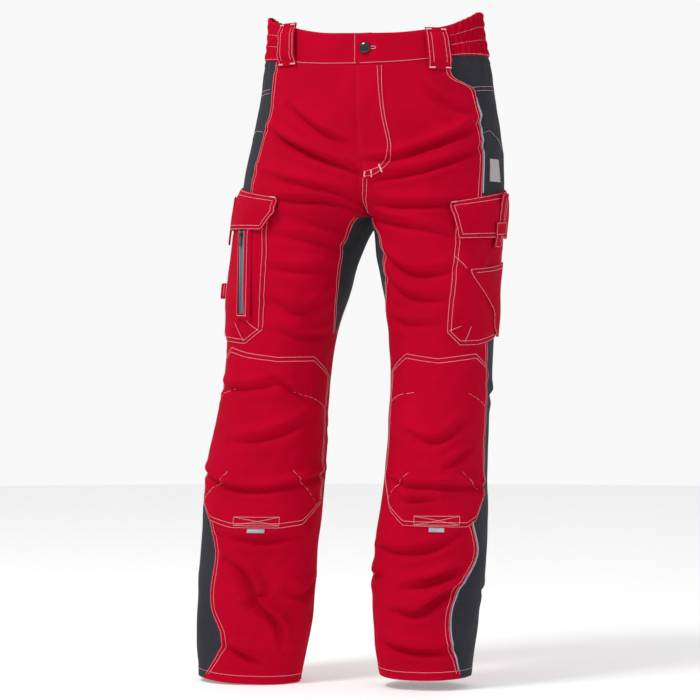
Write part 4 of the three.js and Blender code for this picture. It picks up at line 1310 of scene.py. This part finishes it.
# %% Pocket helpers
def puffed(low, depth, soft, crumple=0.5, open_top=False):
    """The height of a patch pocket: sewn edges, a soft face and a few crumples."""

    def height(patch, p, q):
        """The height at the share (p, q)."""
        left, right, top, bottom = patch.edges(p, q)
        sewn = np.minimum(np.minimum(left, right), bottom)
        if not open_top:
            sewn = np.minimum(sewn, top)
        u, z = patch.place(p, q)
        s = u * GIRTH[patch.side](z)
        rise = depth * (1 - np.exp(-np.maximum(sewn - 4, 0) / soft))
        waves_here = np.sin(s / 17 + z / 29) * np.sin(z / 21 - s / 37 + patch.side)
        fine = 0.4 * np.sin(s / 6.3 - z / 12) * np.sin(z / 9 + 2)
        fall = edge_fall(np.minimum(sewn, top), 0.9, 2.5)
        free = smooth(4, 30, sewn) * (smooth(30, 75, top) if open_top else 1)
        return low + rise + crumple * (waves_here + fine) * free - fall + pucker(sewn, s + z, 0.25)

    return height


def quilted(name, patch, body, nodes, rows, material=RED, thickness=1.2):
    """Builds, attaches and stitches a sewn-on piece. rows lists (inset, edges)."""
    piece = patch.build(name, material, thickness=thickness, pitch=3.2)
    finish_piece(piece, patch, body, nodes)
    for inset, edges in rows:
        sew_patch(patch, around(patch, inset, edges), body)


# %% Cargo pockets and their flaps
POCKET_FACE = 5.6
FLAP_LEVEL = 8.4
ZIP_WAY = curve([(-319, 0.345), (-451, 0.313)])


def zip_swell(side, u, z):
    """The right pocket and its flap swell by 4.2 mm over the zip, which lies straight."""
    if side == LEFT:
        return np.zeros_like(z)
    distance = (u - ZIP_WAY(z)) * GIRTH[side](z)
    span = smooth(-486, -452, z) * (1 - smooth(-292, -262, z))
    return 4.2 * np.exp(-((distance / 27) ** 2)) * span


CARGO = {
    RIGHT: {
        "left": curve(
            [(-297, 0.292), (-317, 0.2895), (-349, 0.278)]
            + [(-409, 0.2695), (-475, 0.2585), (-500, 0.258)]
        ),
        "right": 0.527,
        "top": curve([(0, -297), (1, -270)]),
        "bottom": straight([(0, -475), (0.2, -498.5), (0.55, -494), (1, -486)]),
        "flap_left": curve([(-266, 0.257), (-317, 0.2975)]),
        "flap_right": 0.537,
        "flap_top": curve([(0, -267), (1, -238)]),
        "flap_bottom": curve([(0, -318), (1, -313)]),
    },
    LEFT: {
        "left": curve(
            [(-307, 0.326), (-335, 0.326), (-391, 0.3145), (-478, 0.2985), (-503, 0.298)]
        ),
        "right": 0.557,
        "top": curve([(0, -306), (1, -282)]),
        "bottom": straight([(0, -480), (0.16, -501), (0.4, -500), (1, -484)]),
        "flap_left": curve([(-277, 0.31), (-334, 0.331)]),
        "flap_right": 0.565,
        "flap_top": curve([(0, -277.5), (1, -249)]),
        "flap_bottom": curve([(0, -335), (1, -329)]),
    },
}


def flap_height(patch, p, q):
    """From the seam up over the pocket's mouth, then level, with a fold along the seam."""
    left, right, top, bottom = patch.edges(p, q)
    rise = (FLAP_LEVEL + 1.3) * (1 - np.exp(-top / 8.5))
    fall = edge_fall(np.minimum(np.minimum(left, right), bottom), 0.9, 2.5)
    soft = 0.5 * np.sin(p * 5 + 1) * np.sin(q * 4) * smooth(0, 20, left)
    u, z = patch.place(p, q)
    swell = zip_swell(patch.side, u, z) * smooth(8, 30, top)
    return 1.4 + rise * 0.93 - fall - 1.2 * np.exp(-(((top - 9) / 4) ** 2)) + soft + swell


def cargo(side):
    """A bellows pocket with pleated lower corners under a flap that lifts. Gives the pocket."""
    shape, name = CARGO[side], SIDE_NAME[side]
    crumple = 0.9 if side == RIGHT else 1.5
    flat_face = puffed(1.3, POCKET_FACE - 1.3, 7, crumple, open_top=True)

    def face(patch, p, q):
        """The soft face, which swells under the zip away from the sewn edges."""
        left, right, _, bottom = patch.edges(p, q)
        inside = smooth(2, 14, np.minimum(np.minimum(left, right), bottom))
        return flat_face(patch, p, q) + inside * zip_swell(side, *patch.place(p, q))

    pocket = Patch(side, *(shape[edge] for edge in ("left", "right", "top", "bottom")), face)
    nodes = [f"cargo_pocket_{name}"]
    rows = [(1.8, "lrb"), (8.2, "lrb")]
    quilted(f"cargo_cloth_{name}", pocket, "trousers", nodes, rows)
    edges = (shape[f"flap_{edge}"] for edge in ("left", "right", "top", "bottom"))
    flap = Patch(side, *edges, flap_height)
    rows = [(1.6, "t"), (8.5, "t"), (1.8, "lb"), (8.2, "lb")]
    body = f"flap_{name}"
    nodes = [f"cargo_flap_{name}"]
    quilted(f"flap_cloth_{name}", flap, body, nodes, rows, thickness=1.5)
    top_left = flap.place(0.03, 0.02)
    low_left = flap.place(0.03, 0.17)
    for u, z in (top_left, low_left):
        start, end = (float(u) - 0.004, float(z)), (float(u) + 0.012, float(z) + 1)
        bar_tack(body, side, start, end, 2.2, 2.0)
    fastener(side, shape, name)
    return pocket


def fastener(side, shape, name):
    """Hook tape under the flap and loop tape on the pocket, one over the other."""
    left, right = shape["flap_left"](-317) + 0.06, shape["right"] - 0.07
    low = float(shape["flap_bottom"](0.5))
    for kind, level, body, rests in (
        ("loop", POCKET_FACE + 1.0, "trousers", f"cargo_cloth_{name}"),
        ("hook", FLAP_LEVEL - 1.0, f"flap_{name}", f"flap_cloth_{name}"),
    ):
        height = lambda patch, p, q, level=level: level + zip_swell(side, *patch.place(p, q))
        strip = Patch(side, left, right, low + 22, low + 6, height)
        piece = strip.build(f"{kind}_tape_{name}", HOOKS, thickness=0.5)
        finish_piece(piece, strip, body, [f"flap_{kind}_{name}"])


POCKETS = {side: cargo(side) for side in (RIGHT, LEFT)}


def on_pocket(side, way, lift=0.2):
    """Stitches on the face of a cargo pocket along a way of (u, z)."""
    pocket = POCKETS[side]
    u, z = dense(way)
    q = (z - pocket.top(0.3)) / (pocket.bottom(0.3) - pocket.top(0.3))
    p = (u - pocket.left(z)) / (pocket.right(z) - pocket.left(z))
    offset = pocket.height(pocket, p, q) + lift
    points, normals = cloth(side, u, z, offset)
    stitch_line("trousers", points, normals)


PLEATS = {
    RIGHT: (
        [(0.305, -460), (0.29, -468), (0.268, -477)],
        [(0.346, -464), (0.33, -480), (0.315, -494)],
    ),
    LEFT: (
        [(0.34, -470), (0.32, -474), (0.304, -478)],
        [(0.372, -470), (0.36, -486), (0.352, -496)],
    ),
}
for side, ways in PLEATS.items():
    for way in ways:
        on_pocket(side, way, 0.6)
for shift in (0, 0.011):
    on_pocket(RIGHT, [(0.452 + shift, -322), (0.452 + shift, -400), (0.446 + shift, -488)])
on_pocket(LEFT, [(0.497, -350), (0.51, -376), (0.532, -395)])
on_pocket(LEFT, [(0.326, -362), (0.342, -372), (0.357, -382)])
print("cargo pockets", [name for name, *_ in SHEETS[-8:]])


# %% The zip on the right pocket
def zip_line():
    """Start, end and outward direction of the straight zip, as the frame has them."""
    (start,), (out,) = skin(RIGHT, [0.345], [-319.0])
    (end,), _ = skin(RIGHT, [0.313], [-451.0])
    points, _ = skin(RIGHT, np.linspace(0.345, 0.313, 11), np.linspace(-319, -451, 11))
    straight = lerp(start, end, np.linspace(0, 1, 11)[:, None])
    level = 14.2 + max(0, ((points - straight) @ out).max())
    return start + out * level, end + out * level, out


def zip_axes():
    """Start, three axes (along, across, away from the body) and length of the zip."""
    start, end, out = zip_line()
    along = (end - start) / np.linalg.norm(end - start)
    away = out - out @ along * along
    away /= np.linalg.norm(away)
    return start, along, np.cross(along, away), away, np.linalg.norm(end - start)


def add_teeth():
    """Two rows of moulded teeth, 1.6 mm apart, each row set half a pitch from the other."""
    start, along, across, away, length = zip_axes()
    square = (-1, -1), (1, -1), (1, 1), (-1, 1)
    box = np.array([[x, y, z] for z in (-1, 1) for x, y in square], float)
    box[4:, :2] *= 0.72
    points = []
    for way in (-1, 1):
        for at in np.arange(3 + (way > 0) * 0.8, length - 3, 1.6):
            local = box * [0.95, 0.5, 0.42]
            centre = start + along * at + across * way * 1.25 + away * 0.95
            points.append(
                centre + local[:, :1] * across + local[:, 1:2] * along + local[:, 2:] * away
            )
    sides = [[0, 1, 5, 4], [1, 2, 6, 5], [2, 3, 7, 6], [3, 0, 4, 7]]
    quads = np.array([[3, 2, 1, 0], [4, 5, 6, 7], *sides])
    count = len(points)
    all_quads = (quads[None] + 8 * np.arange(count)[:, None, None]).reshape(-1, 4)
    piece = grid_object("cargo_zip_teeth", np.concatenate(points), all_quads, TEETH)
    piece.data.polygons.foreach_set("use_smooth", np.zeros(len(all_quads), bool))
    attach(piece, "trousers")
    print("teeth", count)


def welt(side_way, name):
    """A red welt that rises from the pocket's face to the edge of the tape."""
    start, along, across, away, length = zip_axes()
    count, columns = 40, 9
    t = np.linspace(-5, length + 9, count)
    p = np.linspace(0, 1, columns)
    reach = 6.6 + 9.2 * p
    middle = start + along * t[:, None]
    edge = middle[:, None] + across * (side_way * reach)[None, :, None]
    lift = 0.6 * (1 - p**3) - 6.2 * smooth(0.15, 1, p)
    ends = 3.2 * (smooth(length - 1, length + 9, t) + 1 - smooth(-5, 3, t))
    outer = edge + away * (lift[None] - ends[:, None])[..., None]
    inner = outer - away * 1.0
    worn = np.tile(np.exp(-p * 4), (count, 1))
    piece = shell(name, RED, (outer, inner, worn))
    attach(piece, "trousers")
    normals = np.broadcast_to(away, (count, 3))
    column = outer[:, 4] + away * 0.1
    inside = (t > -2) & (t < length + 3)
    stitch_line("trousers", column[inside], normals[inside])


add_teeth()
welt(-1, "zip_welt_front")
welt(1, "zip_welt_back")


def foot_of_zip():
    """A red turning under the foot of the zip, with a bar tack across it."""
    start, along, across, away, length = zip_axes()
    rows, columns = 7, 14
    t = length + np.linspace(-1.5, 8, rows)
    x = np.linspace(-12, 12, columns)
    lift = 1.7 - 4.5 * smooth(0.2, 1, np.linspace(0, 1, rows))
    side_drop = -4.0 * smooth(6, 12, np.abs(x))
    outer = (start + along * t[:, None])[:, None] + across * x[None, :, None]
    outer = outer + away * (lift[:, None] + side_drop[None])[..., None]
    piece = shell("zip_foot", RED, (outer, outer - away, np.zeros((rows, columns))))
    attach(piece, "trousers")
    row = outer[2] + away * 0.2
    normals = np.broadcast_to(away, (columns, 3))
    stitch_line("trousers", row, normals, 1.0, 2.0)


foot_of_zip()

# %% Straps, tabs and the smaller pockets
def flat(low):
    """A level height with pressed edges."""
    return lambda patch, p, q: low - edge_fall(np.minimum.reduce(patch.edges(p, q)), 0.6, 1.6)


def phone_height(patch, p, q):
    """The phone pocket lies on the cargo pocket and swells by 1.4 mm in the middle."""
    swell = 1.4 * np.sin(np.pi * p) * np.sin(np.pi * q)
    fall = edge_fall(np.minimum.reduce(patch.edges(p, q)), 0.9, 2.5)
    return POCKET_FACE + 1.6 + swell - fall


def tab_bulge(patch, p, q):
    """The side tab is a folded strip that stands 12 mm off the pocket."""
    fall = edge_fall(np.minimum(*patch.edges(p, q)[2:]), 0.8, 2.0)
    return POCKET_FACE + 0.5 + 12.0 * np.sin(np.pi * p) ** 0.7 - fall


def small_pieces():
    """Phone pocket, flap strap with its keeper, pen loop, plain label and side tab."""
    over = FLAP_LEVEL + 3.2
    edge = [(-366, 0.356), (-390, 0.368), (-420, 0.419)]
    edge += [(-449, 0.471), (-469, 0.478), (-490, 0.508)]
    slant = curve([(-261, 0.462), (-347, 0.436)]), curve([(-261, 0.497), (-347, 0.472)])
    keeper_edges = curve([(0, -307), (1, -304)]), curve([(0, -329), (1, -325)])
    label_sides = curve([(-206, 0.404), (-246, 0.422)]), curve([(-206, 0.456), (-246, 0.474)])
    top = curve([(0, -381), (0.5, -375), (1, -366)])
    phone = Patch(LEFT, curve(edge), 0.552, top, -486, phone_height)
    rows = [(1.6, "lt"), (8.0, "t")]
    quilted("phone_cloth", phone, "trousers", ["phone_pocket"], rows)
    strap = Patch(LEFT, *slant, -260, -347, flat(over))
    rows = [(2.2, "lrb"), (9.0, "r")]
    quilted(
        "flap_strap_cloth", strap, "flap_left", ["flap_strap"], rows
    )
    keeper = Patch(LEFT, 0.435, 0.489, *keeper_edges, flat(over + 1.9))
    quilted("strap_keeper", keeper, "flap_left", [], [(2.0, "ltrb")])
    pen = Patch(RIGHT, 0.446, 0.474, curve([(0, -262), (1, -259)]), -338, flat(over))
    rests = ["flap_cloth_right"]
    quilted("pen_strap_cloth", pen, "flap_right", ["pen_strap"], [(2.0, "lr")])
    label = Patch(LEFT, *label_sides, -207.5, -243, flat(1.6))
    rests, rows = ["side_cloth_left"], [(1.8, "ltrb")]
    quilted("plain_label", label, "trousers", ["label_patch"], rows, material=LABEL)
    tab = Patch(RIGHT, 0.468, 0.505, -399, -424, tab_bulge)
    rests, rows = ["cargo_cloth_right"], [(2.4, "lr"), (9.0, "r")]
    quilted("side_tab_cloth", tab, "trousers", ["side_tab"], rows)


def back_pockets():
    """A patch pocket behind on either side, with cut lower corners."""
    top = curve([(0, -116), (1, -120)])
    bottom = curve([(0, -244), (0.16, -262), (0.5, -266), (0.84, -262), (1, -244)])
    height = puffed(1.2, 5.2, 14, open_top=True)
    for side in (RIGHT, LEFT):
        name = SIDE_NAME[side]
        pocket = Patch(side, 0.692, 0.868, top, bottom, height)
        rows = [(1.8, "lrb"), (8.2, "lrb"), (14.0, "t")]
        nodes = [f"back_pocket_{name}"]
        quilted(f"back_pocket_cloth_{name}", pocket, "trousers", nodes, rows)


def bag_inner(patch, p, q):
    """The inner face of a pocket's bag: a flat pouch, 9 mm deep in the middle."""
    round_share = np.sin(np.pi * np.clip(p, 0, 1)) * np.sin(np.pi * np.clip(q, 0, 1))
    return -4.2 - 9.0 * round_share**0.5


def pocket_bags():
    """The bag of each hand pocket hangs behind the front cloth, as a flat pouch."""
    for side in (RIGHT, LEFT):
        name = SIDE_NAME[side]

        def start(z, side=side):
            """The bag begins just inside the front seam."""
            return FRONT_SEAM[side](np.maximum(z, -130)) - 0.02

        bag = Patch(side, start, 0.588, -52, -244, lambda patch, p, q: -3.4 + 0 * p * q)
        piece = bag.build(f"hand_bag_{name}", LINING, inner=bag_inner)
        nodes = [f"hand_pocket_bag_{name}"]
        finish_piece(piece, bag, "trousers", nodes)


small_pieces()
back_pockets()
pocket_bags()
print("sheets up to the pockets", len(SHEETS))

# %% [markdown]
# ## The knees
# A knee pocket is a wide patch over the joint, open below for a pad, darted towards both seams.

# %% Knee pockets
KNEES = {
    RIGHT: {
        "left": curve([(-500, 0.004), (-800, 0.01)]),
        "right": curve([(-500, 0.424), (-600, 0.44), (-700, 0.44), (-800, 0.405)]),
        "top": straight(
            [(0, -548), (0.22, -516), (0.5, -517), (0.7, -510), (0.87, -501), (1, -522)]
        ),
        "bottom": straight(
            [(0, -750), (0.22, -786), (0.4, -791), (0.7, -791), (0.89, -781), (1, -748)]
        ),
        "darts": [
            [(0.436, -588), (0.39, -576), (0.337, -568)],
            [(0.169, -572), (0.09, -584), (0.012, -600)],
            [(0.315, -700), (0.336, -719), (0.418, -746)],
            [(0.145, -696), (0.1, -724), (0.036, -757)],
        ],
        "cross": (0.172, 0.284, -772, -786),
        "tab": (0.209, 0.249, -786, -797),
    },
    LEFT: {
        "left": curve([(-500, 0.088), (-800, 0.082)]),
        "right": curve([(-500, 0.452), (-600, 0.472), (-700, 0.476), (-800, 0.455)]),
        "top": straight([(0, -540), (0.25, -511), (0.5, -519), (0.84, -511), (1, -536)]),
        "bottom": straight(
            [(0, -706), (0.15, -760), (0.3, -783), (0.78, -785), (0.88, -775), (1, -728)]
        ),
        "darts": [
            [(0.1, -587), (0.15, -577), (0.209, -573)],
            [(0.366, -574), (0.41, -584), (0.455, -595)],
            [(0.206, -698), (0.16, -722), (0.118, -741)],
            [(0.361, -696), (0.39, -712), (0.432, -727)],
        ],
        "cross": (0.229, 0.351, -766, -780),
        "tab": (0.265, 0.307, -780, -791),
    },
}


def knee_height(darts):
    """A slightly padded patch, pulled in along each dart."""

    def height(patch, p, q):
        """The height at the share (p, q)."""
        left, right, top, bottom = patch.edges(p, q)
        nearest = np.minimum.reduce([left, right, top, bottom])
        u, z = patch.place(p, q)
        pulled = np.zeros_like(z)
        for dart in darts:
            du, dz = dense(dart, 4)
            distance = np.full(z.shape, np.inf)
            for a, b in zip(du, dz):
                distance = np.minimum(distance, np.hypot((u - a) * GIRTH[patch.side](z), z - b))
            pulled -= 1.3 * np.exp(-((distance / 2.6) ** 2))
            pulled += 0.8 * np.exp(-(((distance - 7) / 4.5) ** 2))
        soft = 2.6 * (1 - np.exp(-np.maximum(nearest - 4, 0) / 18))
        s = u * GIRTH[patch.side](z)
        return 1.4 + soft + pulled - edge_fall(nearest, 1.0, 2.5) + pucker(nearest, s + z, 0.28)

    return height


def tab_height(fold):
    """Sewn in under the pocket's edge, and forward again from the height of the fold down."""
    return lambda patch, p, q: 0.2 + 2.0 * (1 - smooth(fold - 1, fold + 1, patch.place(p, q)[1]))


def knees():
    """Knee pockets with double edges, darts, the crossed box that closes them and the pale tab."""
    for side in (RIGHT, LEFT):
        shape, name = KNEES[side], SIDE_NAME[side]
        leg = f"leg_{name}"
        edges = (shape[edge] for edge in ("left", "right", "top", "bottom"))
        patch = Patch(side, *edges, knee_height(shape["darts"]))
        piece = patch.build(f"knee_cloth_{name}", RED, pitch=3.0)
        finish_piece(piece, patch, leg, [f"knee_pocket_{name}"])
        for inset in (1.8, 8.4):
            sew_patch(patch, around(patch, inset, "ltrb"), leg)
        for dart in shape["darts"]:
            on_patch(patch, dart, leg)
        a, b, top, low = shape["cross"]
        corners = [(a, top), (b, top), (b, low), (a, low), (a, top), (b, low)]
        on_patch(patch, corners, leg)
        on_patch(patch, [(a, low), (b, top)], leg)
        a, b, top, low = shape["tab"]
        tab = Patch(side, a, b, top, low, tab_height(low + 5))
        piece = tab.build(f"knee_tab_{name}", SILVER, thickness=0.9)
        finish_piece(piece, tab, leg, [])


def on_patch(patch, way, group):
    """Stitches on a patch along a way of (u, z)."""
    u, z = dense(way)
    p = (u - patch.left(z)) / (patch.right(z) - patch.left(z))
    q = (z - patch.top(p)) / (patch.bottom(p) - patch.top(p))
    points, normals = cloth(patch.side, u, z, patch.height(patch, p, q))
    stitch_line(group, points, normals)


knees()
print("sheets", len(SHEETS))

# %% [markdown]
# ## Seam stitching, piping and hems

# %% Rows along the seams
def seam_way(seam, low, high, shift, side):
    """A way (u, z) beside a seam, shift millimetres from it: minus is towards the front."""
    z = np.linspace(high, low, 140)
    return [(float(seam(v)) + shift / float(GIRTH[side](v)), float(v)) for v in z]


def seam_rows():
    """Double rows beside the side, back and gusset seams, and the rows round the hems."""
    for side in (RIGHT, LEFT):
        low = HEM + 8
        for shift in (2.4, 8.6):
            edge_row(FRONT_LEGS[side], shift)
        for shift in (2.4, 8.6):
            sew(side, seam_way(BACK_SEAM, low, -44, shift, side), 0.15)
        for shift in (2.4, 8.6):
            seam = lambda z, side=side: gusset_edge(side, z)
            sew(side, seam_way(seam, GUSSET_BOTTOM + 2, CROTCH - 2, shift, side), 0.15)
            behind = lambda z, side=side: 1 - gusset_edge(side, z)
            sew(side, seam_way(behind, GUSSET_BOTTOM + 2, CROTCH - 2, -shift, side), 0.15)
        round_hem = [(u, float(HEM_LINE[side](u)) + 13) for u in np.linspace(0.004, 0.995, 160)]
        sew(side, round_hem, 0.2)
        sew(side, [(0.994, -44), (0.993, -150), (0.993, -290)], 0.1)
    for z in (-93.0, -99.0):
        sew(LEFT, [(0.334, z - 4), (0.4, z - 1), (0.55, z + 4)], -0.2)
        sew(RIGHT, [(0.3, z), (0.4, z - 1), (0.55, z + 4)], -0.2)
    sew(LEFT, [(0.366, -167), (0.404, -163), (0.474, -175), (0.55, -200)], -0.2)
    sew(RIGHT, [(0.31, -160), (0.37, -157), (0.45, -168), (0.55, -192)], -0.2)


def tube(name, side, way, radius, height, body):
    """A piping: a tube of eight points round a way of (u, z)."""
    u, z = dense(way, 4)
    points, normals = cloth(side, u, z, height)
    along = np.gradient(points, axis=0)
    along /= np.linalg.norm(along, axis=1)[:, None]
    sideways = np.cross(along, normals)
    angles = np.linspace(0, 2 * np.pi, 8, endpoint=False)
    ring = (
        points[:, None]
        + radius * np.cos(angles)[None, :, None] * sideways[:, None]
        + 0.8 * radius * np.sin(angles)[None, :, None] * normals[:, None]
    )
    rows = len(points)
    quads = ring_quads(rows, 8)
    caps = [[0, 1, 2, 3], [0, 3, 4, 7], [4, 5, 6, 7]]
    last = (rows - 1) * 8
    ends = [[last + k for k in cap] for cap in caps]
    quads = np.concatenate([quads, np.array(caps)[:, ::-1], np.array(ends)])
    all_points = ring.reshape(-1, 3)
    a, b, c = (all_points[quads[:, k]] for k in range(3))
    if np.einsum("ij,ij->i", a - all_points.mean(0), np.cross(b - a, c - a)).sum() < 0:
        quads = quads[:, ::-1]
    piece = grid_object(name, all_points, quads, SILVER)
    if body == "leg_left":
        bend_at_knee(piece)
    else:
        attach(piece, body)
    return piece


seam_rows()
for name, high, low, count, radius, height, body in (
    ("piping_hip_left", -112, -262, 40, 1.5, 0.5, "trousers"),
    ("piping_shin_left", -774, -1010, 60, 1.3, 0.4, "leg_left"),
):
    levels = np.linspace(high, low, count)
    way = list(zip(FRONT_SEAM[LEFT](levels) + 0.001, levels))
    tube(name, LEFT, way, radius, height, body)
print("groups of stitches", list(THREADS))

# %% [markdown]
# ## The button and the metal parts
# The button is turned: a profile of radius and height, spun about its shank. A worked hole beside
# it is a small loop of dense stitches.

# %% Button and buttonhole
def button():
    """A domed button of 18.4 mm on the frame's own axis."""
    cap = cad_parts["waist_button_cap"]
    corners = np.array([vertex.co for vertex in cap.data.vertices])
    low, high = corners.min(0), corners.max(0)
    (spot,), (out,) = skin(LEFT, [0.0145], [-37.0])
    (upper,), _ = skin(LEFT, [0.0145], [-32.0])
    (lower,), _ = skin(LEFT, [0.0145], [-42.0])
    along = np.array([0.0, upper[1] - lower[1], 10.0])
    along /= np.linalg.norm(along)
    away = out - out @ along * along
    away /= np.linalg.norm(away)
    sideways = np.cross(along, away)
    profile = [(0.0, -5.6), (1.8, -5.6), (1.8, 1.9), (8.6, 1.9), (9.15, 2.2), (9.2, 2.9), (8.8, 3.6)]
    profile += [(9.0 * np.cos(t), 3.4 + 2.8 * np.sin(t)) for t in np.linspace(0.25, np.pi / 2, 9)]
    profile = np.array(profile)
    turns = 56
    angle = np.linspace(0, 2 * np.pi, turns, endpoint=False)
    ring = (
        np.cos(angle)[None, :, None] * sideways + np.sin(angle)[None, :, None] * along
    ) * profile[:, 0][:, None, None] + profile[:, 1][:, None, None] * away + spot
    rows = len(profile)
    points = ring.reshape(-1, 3)
    piece = grid_object("waist_button", points, ring_quads(rows, turns), BLACK)
    recalculate(piece)
    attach(piece, "waist_button")
    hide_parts("waist_button_cap")
    print("button over the node by", high - low)


def recalculate(piece):
    """Merges doubled points and turns all faces outwards."""
    mesh = bmesh.new()
    mesh.from_mesh(piece.data)
    bmesh.ops.remove_doubles(mesh, verts=mesh.verts, dist=1e-6)
    bmesh.ops.recalc_face_normals(mesh, faces=mesh.faces)
    mesh.to_mesh(piece.data)
    mesh.free()


def buttonhole():
    """A worked hole: a long loop of dense stitches from under the button to the wearer's left."""
    t = np.linspace(0, 2 * np.pi, 60)
    u = 0.033 + 0.0085 * np.cos(t)
    z = -36.6 + 2.1 * np.sin(t)
    points, normals = cloth(LEFT, u, z, 1.7)
    stitch_line("trousers", points, normals, 1.0, 2.0)


button()
buttonhole()

# %% Nodes of the frame that stay, with finishes of their own
FINISHES = {
    "waist_button_tack": METAL,
    "fly_zip_tape_right": TAPE,
    "fly_zip_tape_left": TAPE,
    "fly_zip_slider": METAL,
    "fly_zip_puller": METAL,
    "cargo_zip_tape_right": TAPE,
    "cargo_zip_tape_left": TAPE,
    "cargo_zip_slider": METAL,
    "cargo_zip_puller": METAL,
}
for node, material in FINISHES.items():
    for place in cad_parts[node].material_slots:
        place.material = material
build_threads()

# %% [markdown]
# ## Floor and light
# A pale floor just under the hems, a pale surround, and one broad soft light from the upper left.

# %% Floor and light
def surround():
    """An even white dome round the garment, floor and view. It is seen, and casts no light."""
    bpy.ops.mesh.primitive_uv_sphere_add(segments=64, ring_count=32, radius=9)
    dome = bpy.context.active_object
    dome.name = "white_dome"
    dome.visible_diffuse = False
    dome.visible_glossy = False
    dome.visible_shadow = False
    white = bpy.data.materials.new("white_dome")
    white.use_nodes = True
    tree = white.node_tree
    shader = tree.nodes["Principled BSDF"]
    noise = tree.nodes.new("ShaderNodeTexNoise")
    noise.inputs["Scale"].default_value = 2
    colour = mix_colour(tree, noise.outputs["Fac"], linear(255, 255, 255), linear(254, 254, 255))
    tree.links.new(colour, shader.inputs["Emission Color"])
    shader.inputs["Emission Strength"].default_value = 0.915
    shader.inputs["Base Color"].default_value = (0, 0, 0, 1)
    dome.data.materials.append(white)
    return dome


FLOOR_HEIGHT = -1.042  # just under the lowest hem, in metres


def floor_and_light():
    """The floor, the dome and two soft area lights that look at the garment's middle."""
    middle = (0, 0, FLOOR_HEIGHT)
    bpy.ops.mesh.primitive_circle_add(vertices=96, radius=6, fill_type="NGON", location=middle)
    floor = bpy.context.active_object
    floor.name = "floor"
    pale = bpy.data.materials.new("pale_floor")
    pale.use_nodes = True
    tree = pale.node_tree
    shader = tree.nodes["Principled BSDF"]
    noise = tree.nodes.new("ShaderNodeTexNoise")
    noise.inputs["Scale"].default_value = 3
    colour = mix_colour(tree, noise.outputs["Fac"], linear(240, 240, 241), linear(236, 237, 239))
    tree.links.new(colour, shader.inputs["Base Color"])
    shader.inputs["Roughness"].default_value = 0.9
    shader.inputs["Emission Color"].default_value = (1, 1, 1, 1)
    shader.inputs["Emission Strength"].default_value = 0.26
    floor.data.materials.append(pale)
    surround()
    world = bpy.data.worlds.new("surround")
    world.use_nodes = True
    background = world.node_tree.nodes["Background"]
    background.inputs["Color"].default_value = (1, 1, 1, 1)
    background.inputs["Strength"].default_value = 0.64
    bpy.context.scene.world = world
    for name, place, size, watts in (
        ("key", (-1.5, -2.3, 3.2), 1.0, 110),
        ("fill", (2.8, -2.6, 0.6), 2.5, 6),
    ):
        data = bpy.data.lights.new(name, "AREA")
        data.energy = watts
        data.size = size
        lamp = bpy.data.objects.new(name, data)
        COLLECTION.objects.link(lamp)
        lamp.location = place
        way = np.array([0.0, 0.0, -0.5]) - np.array(place)
        lamp.rotation_euler = (
            float(np.arccos(-way[2] / np.linalg.norm(way))),
            0,
            float(np.arctan2(way[1], way[0]) - np.pi / 2),
        )


floor_and_light()
bpy.context.scene.view_settings.view_transform = "Standard"
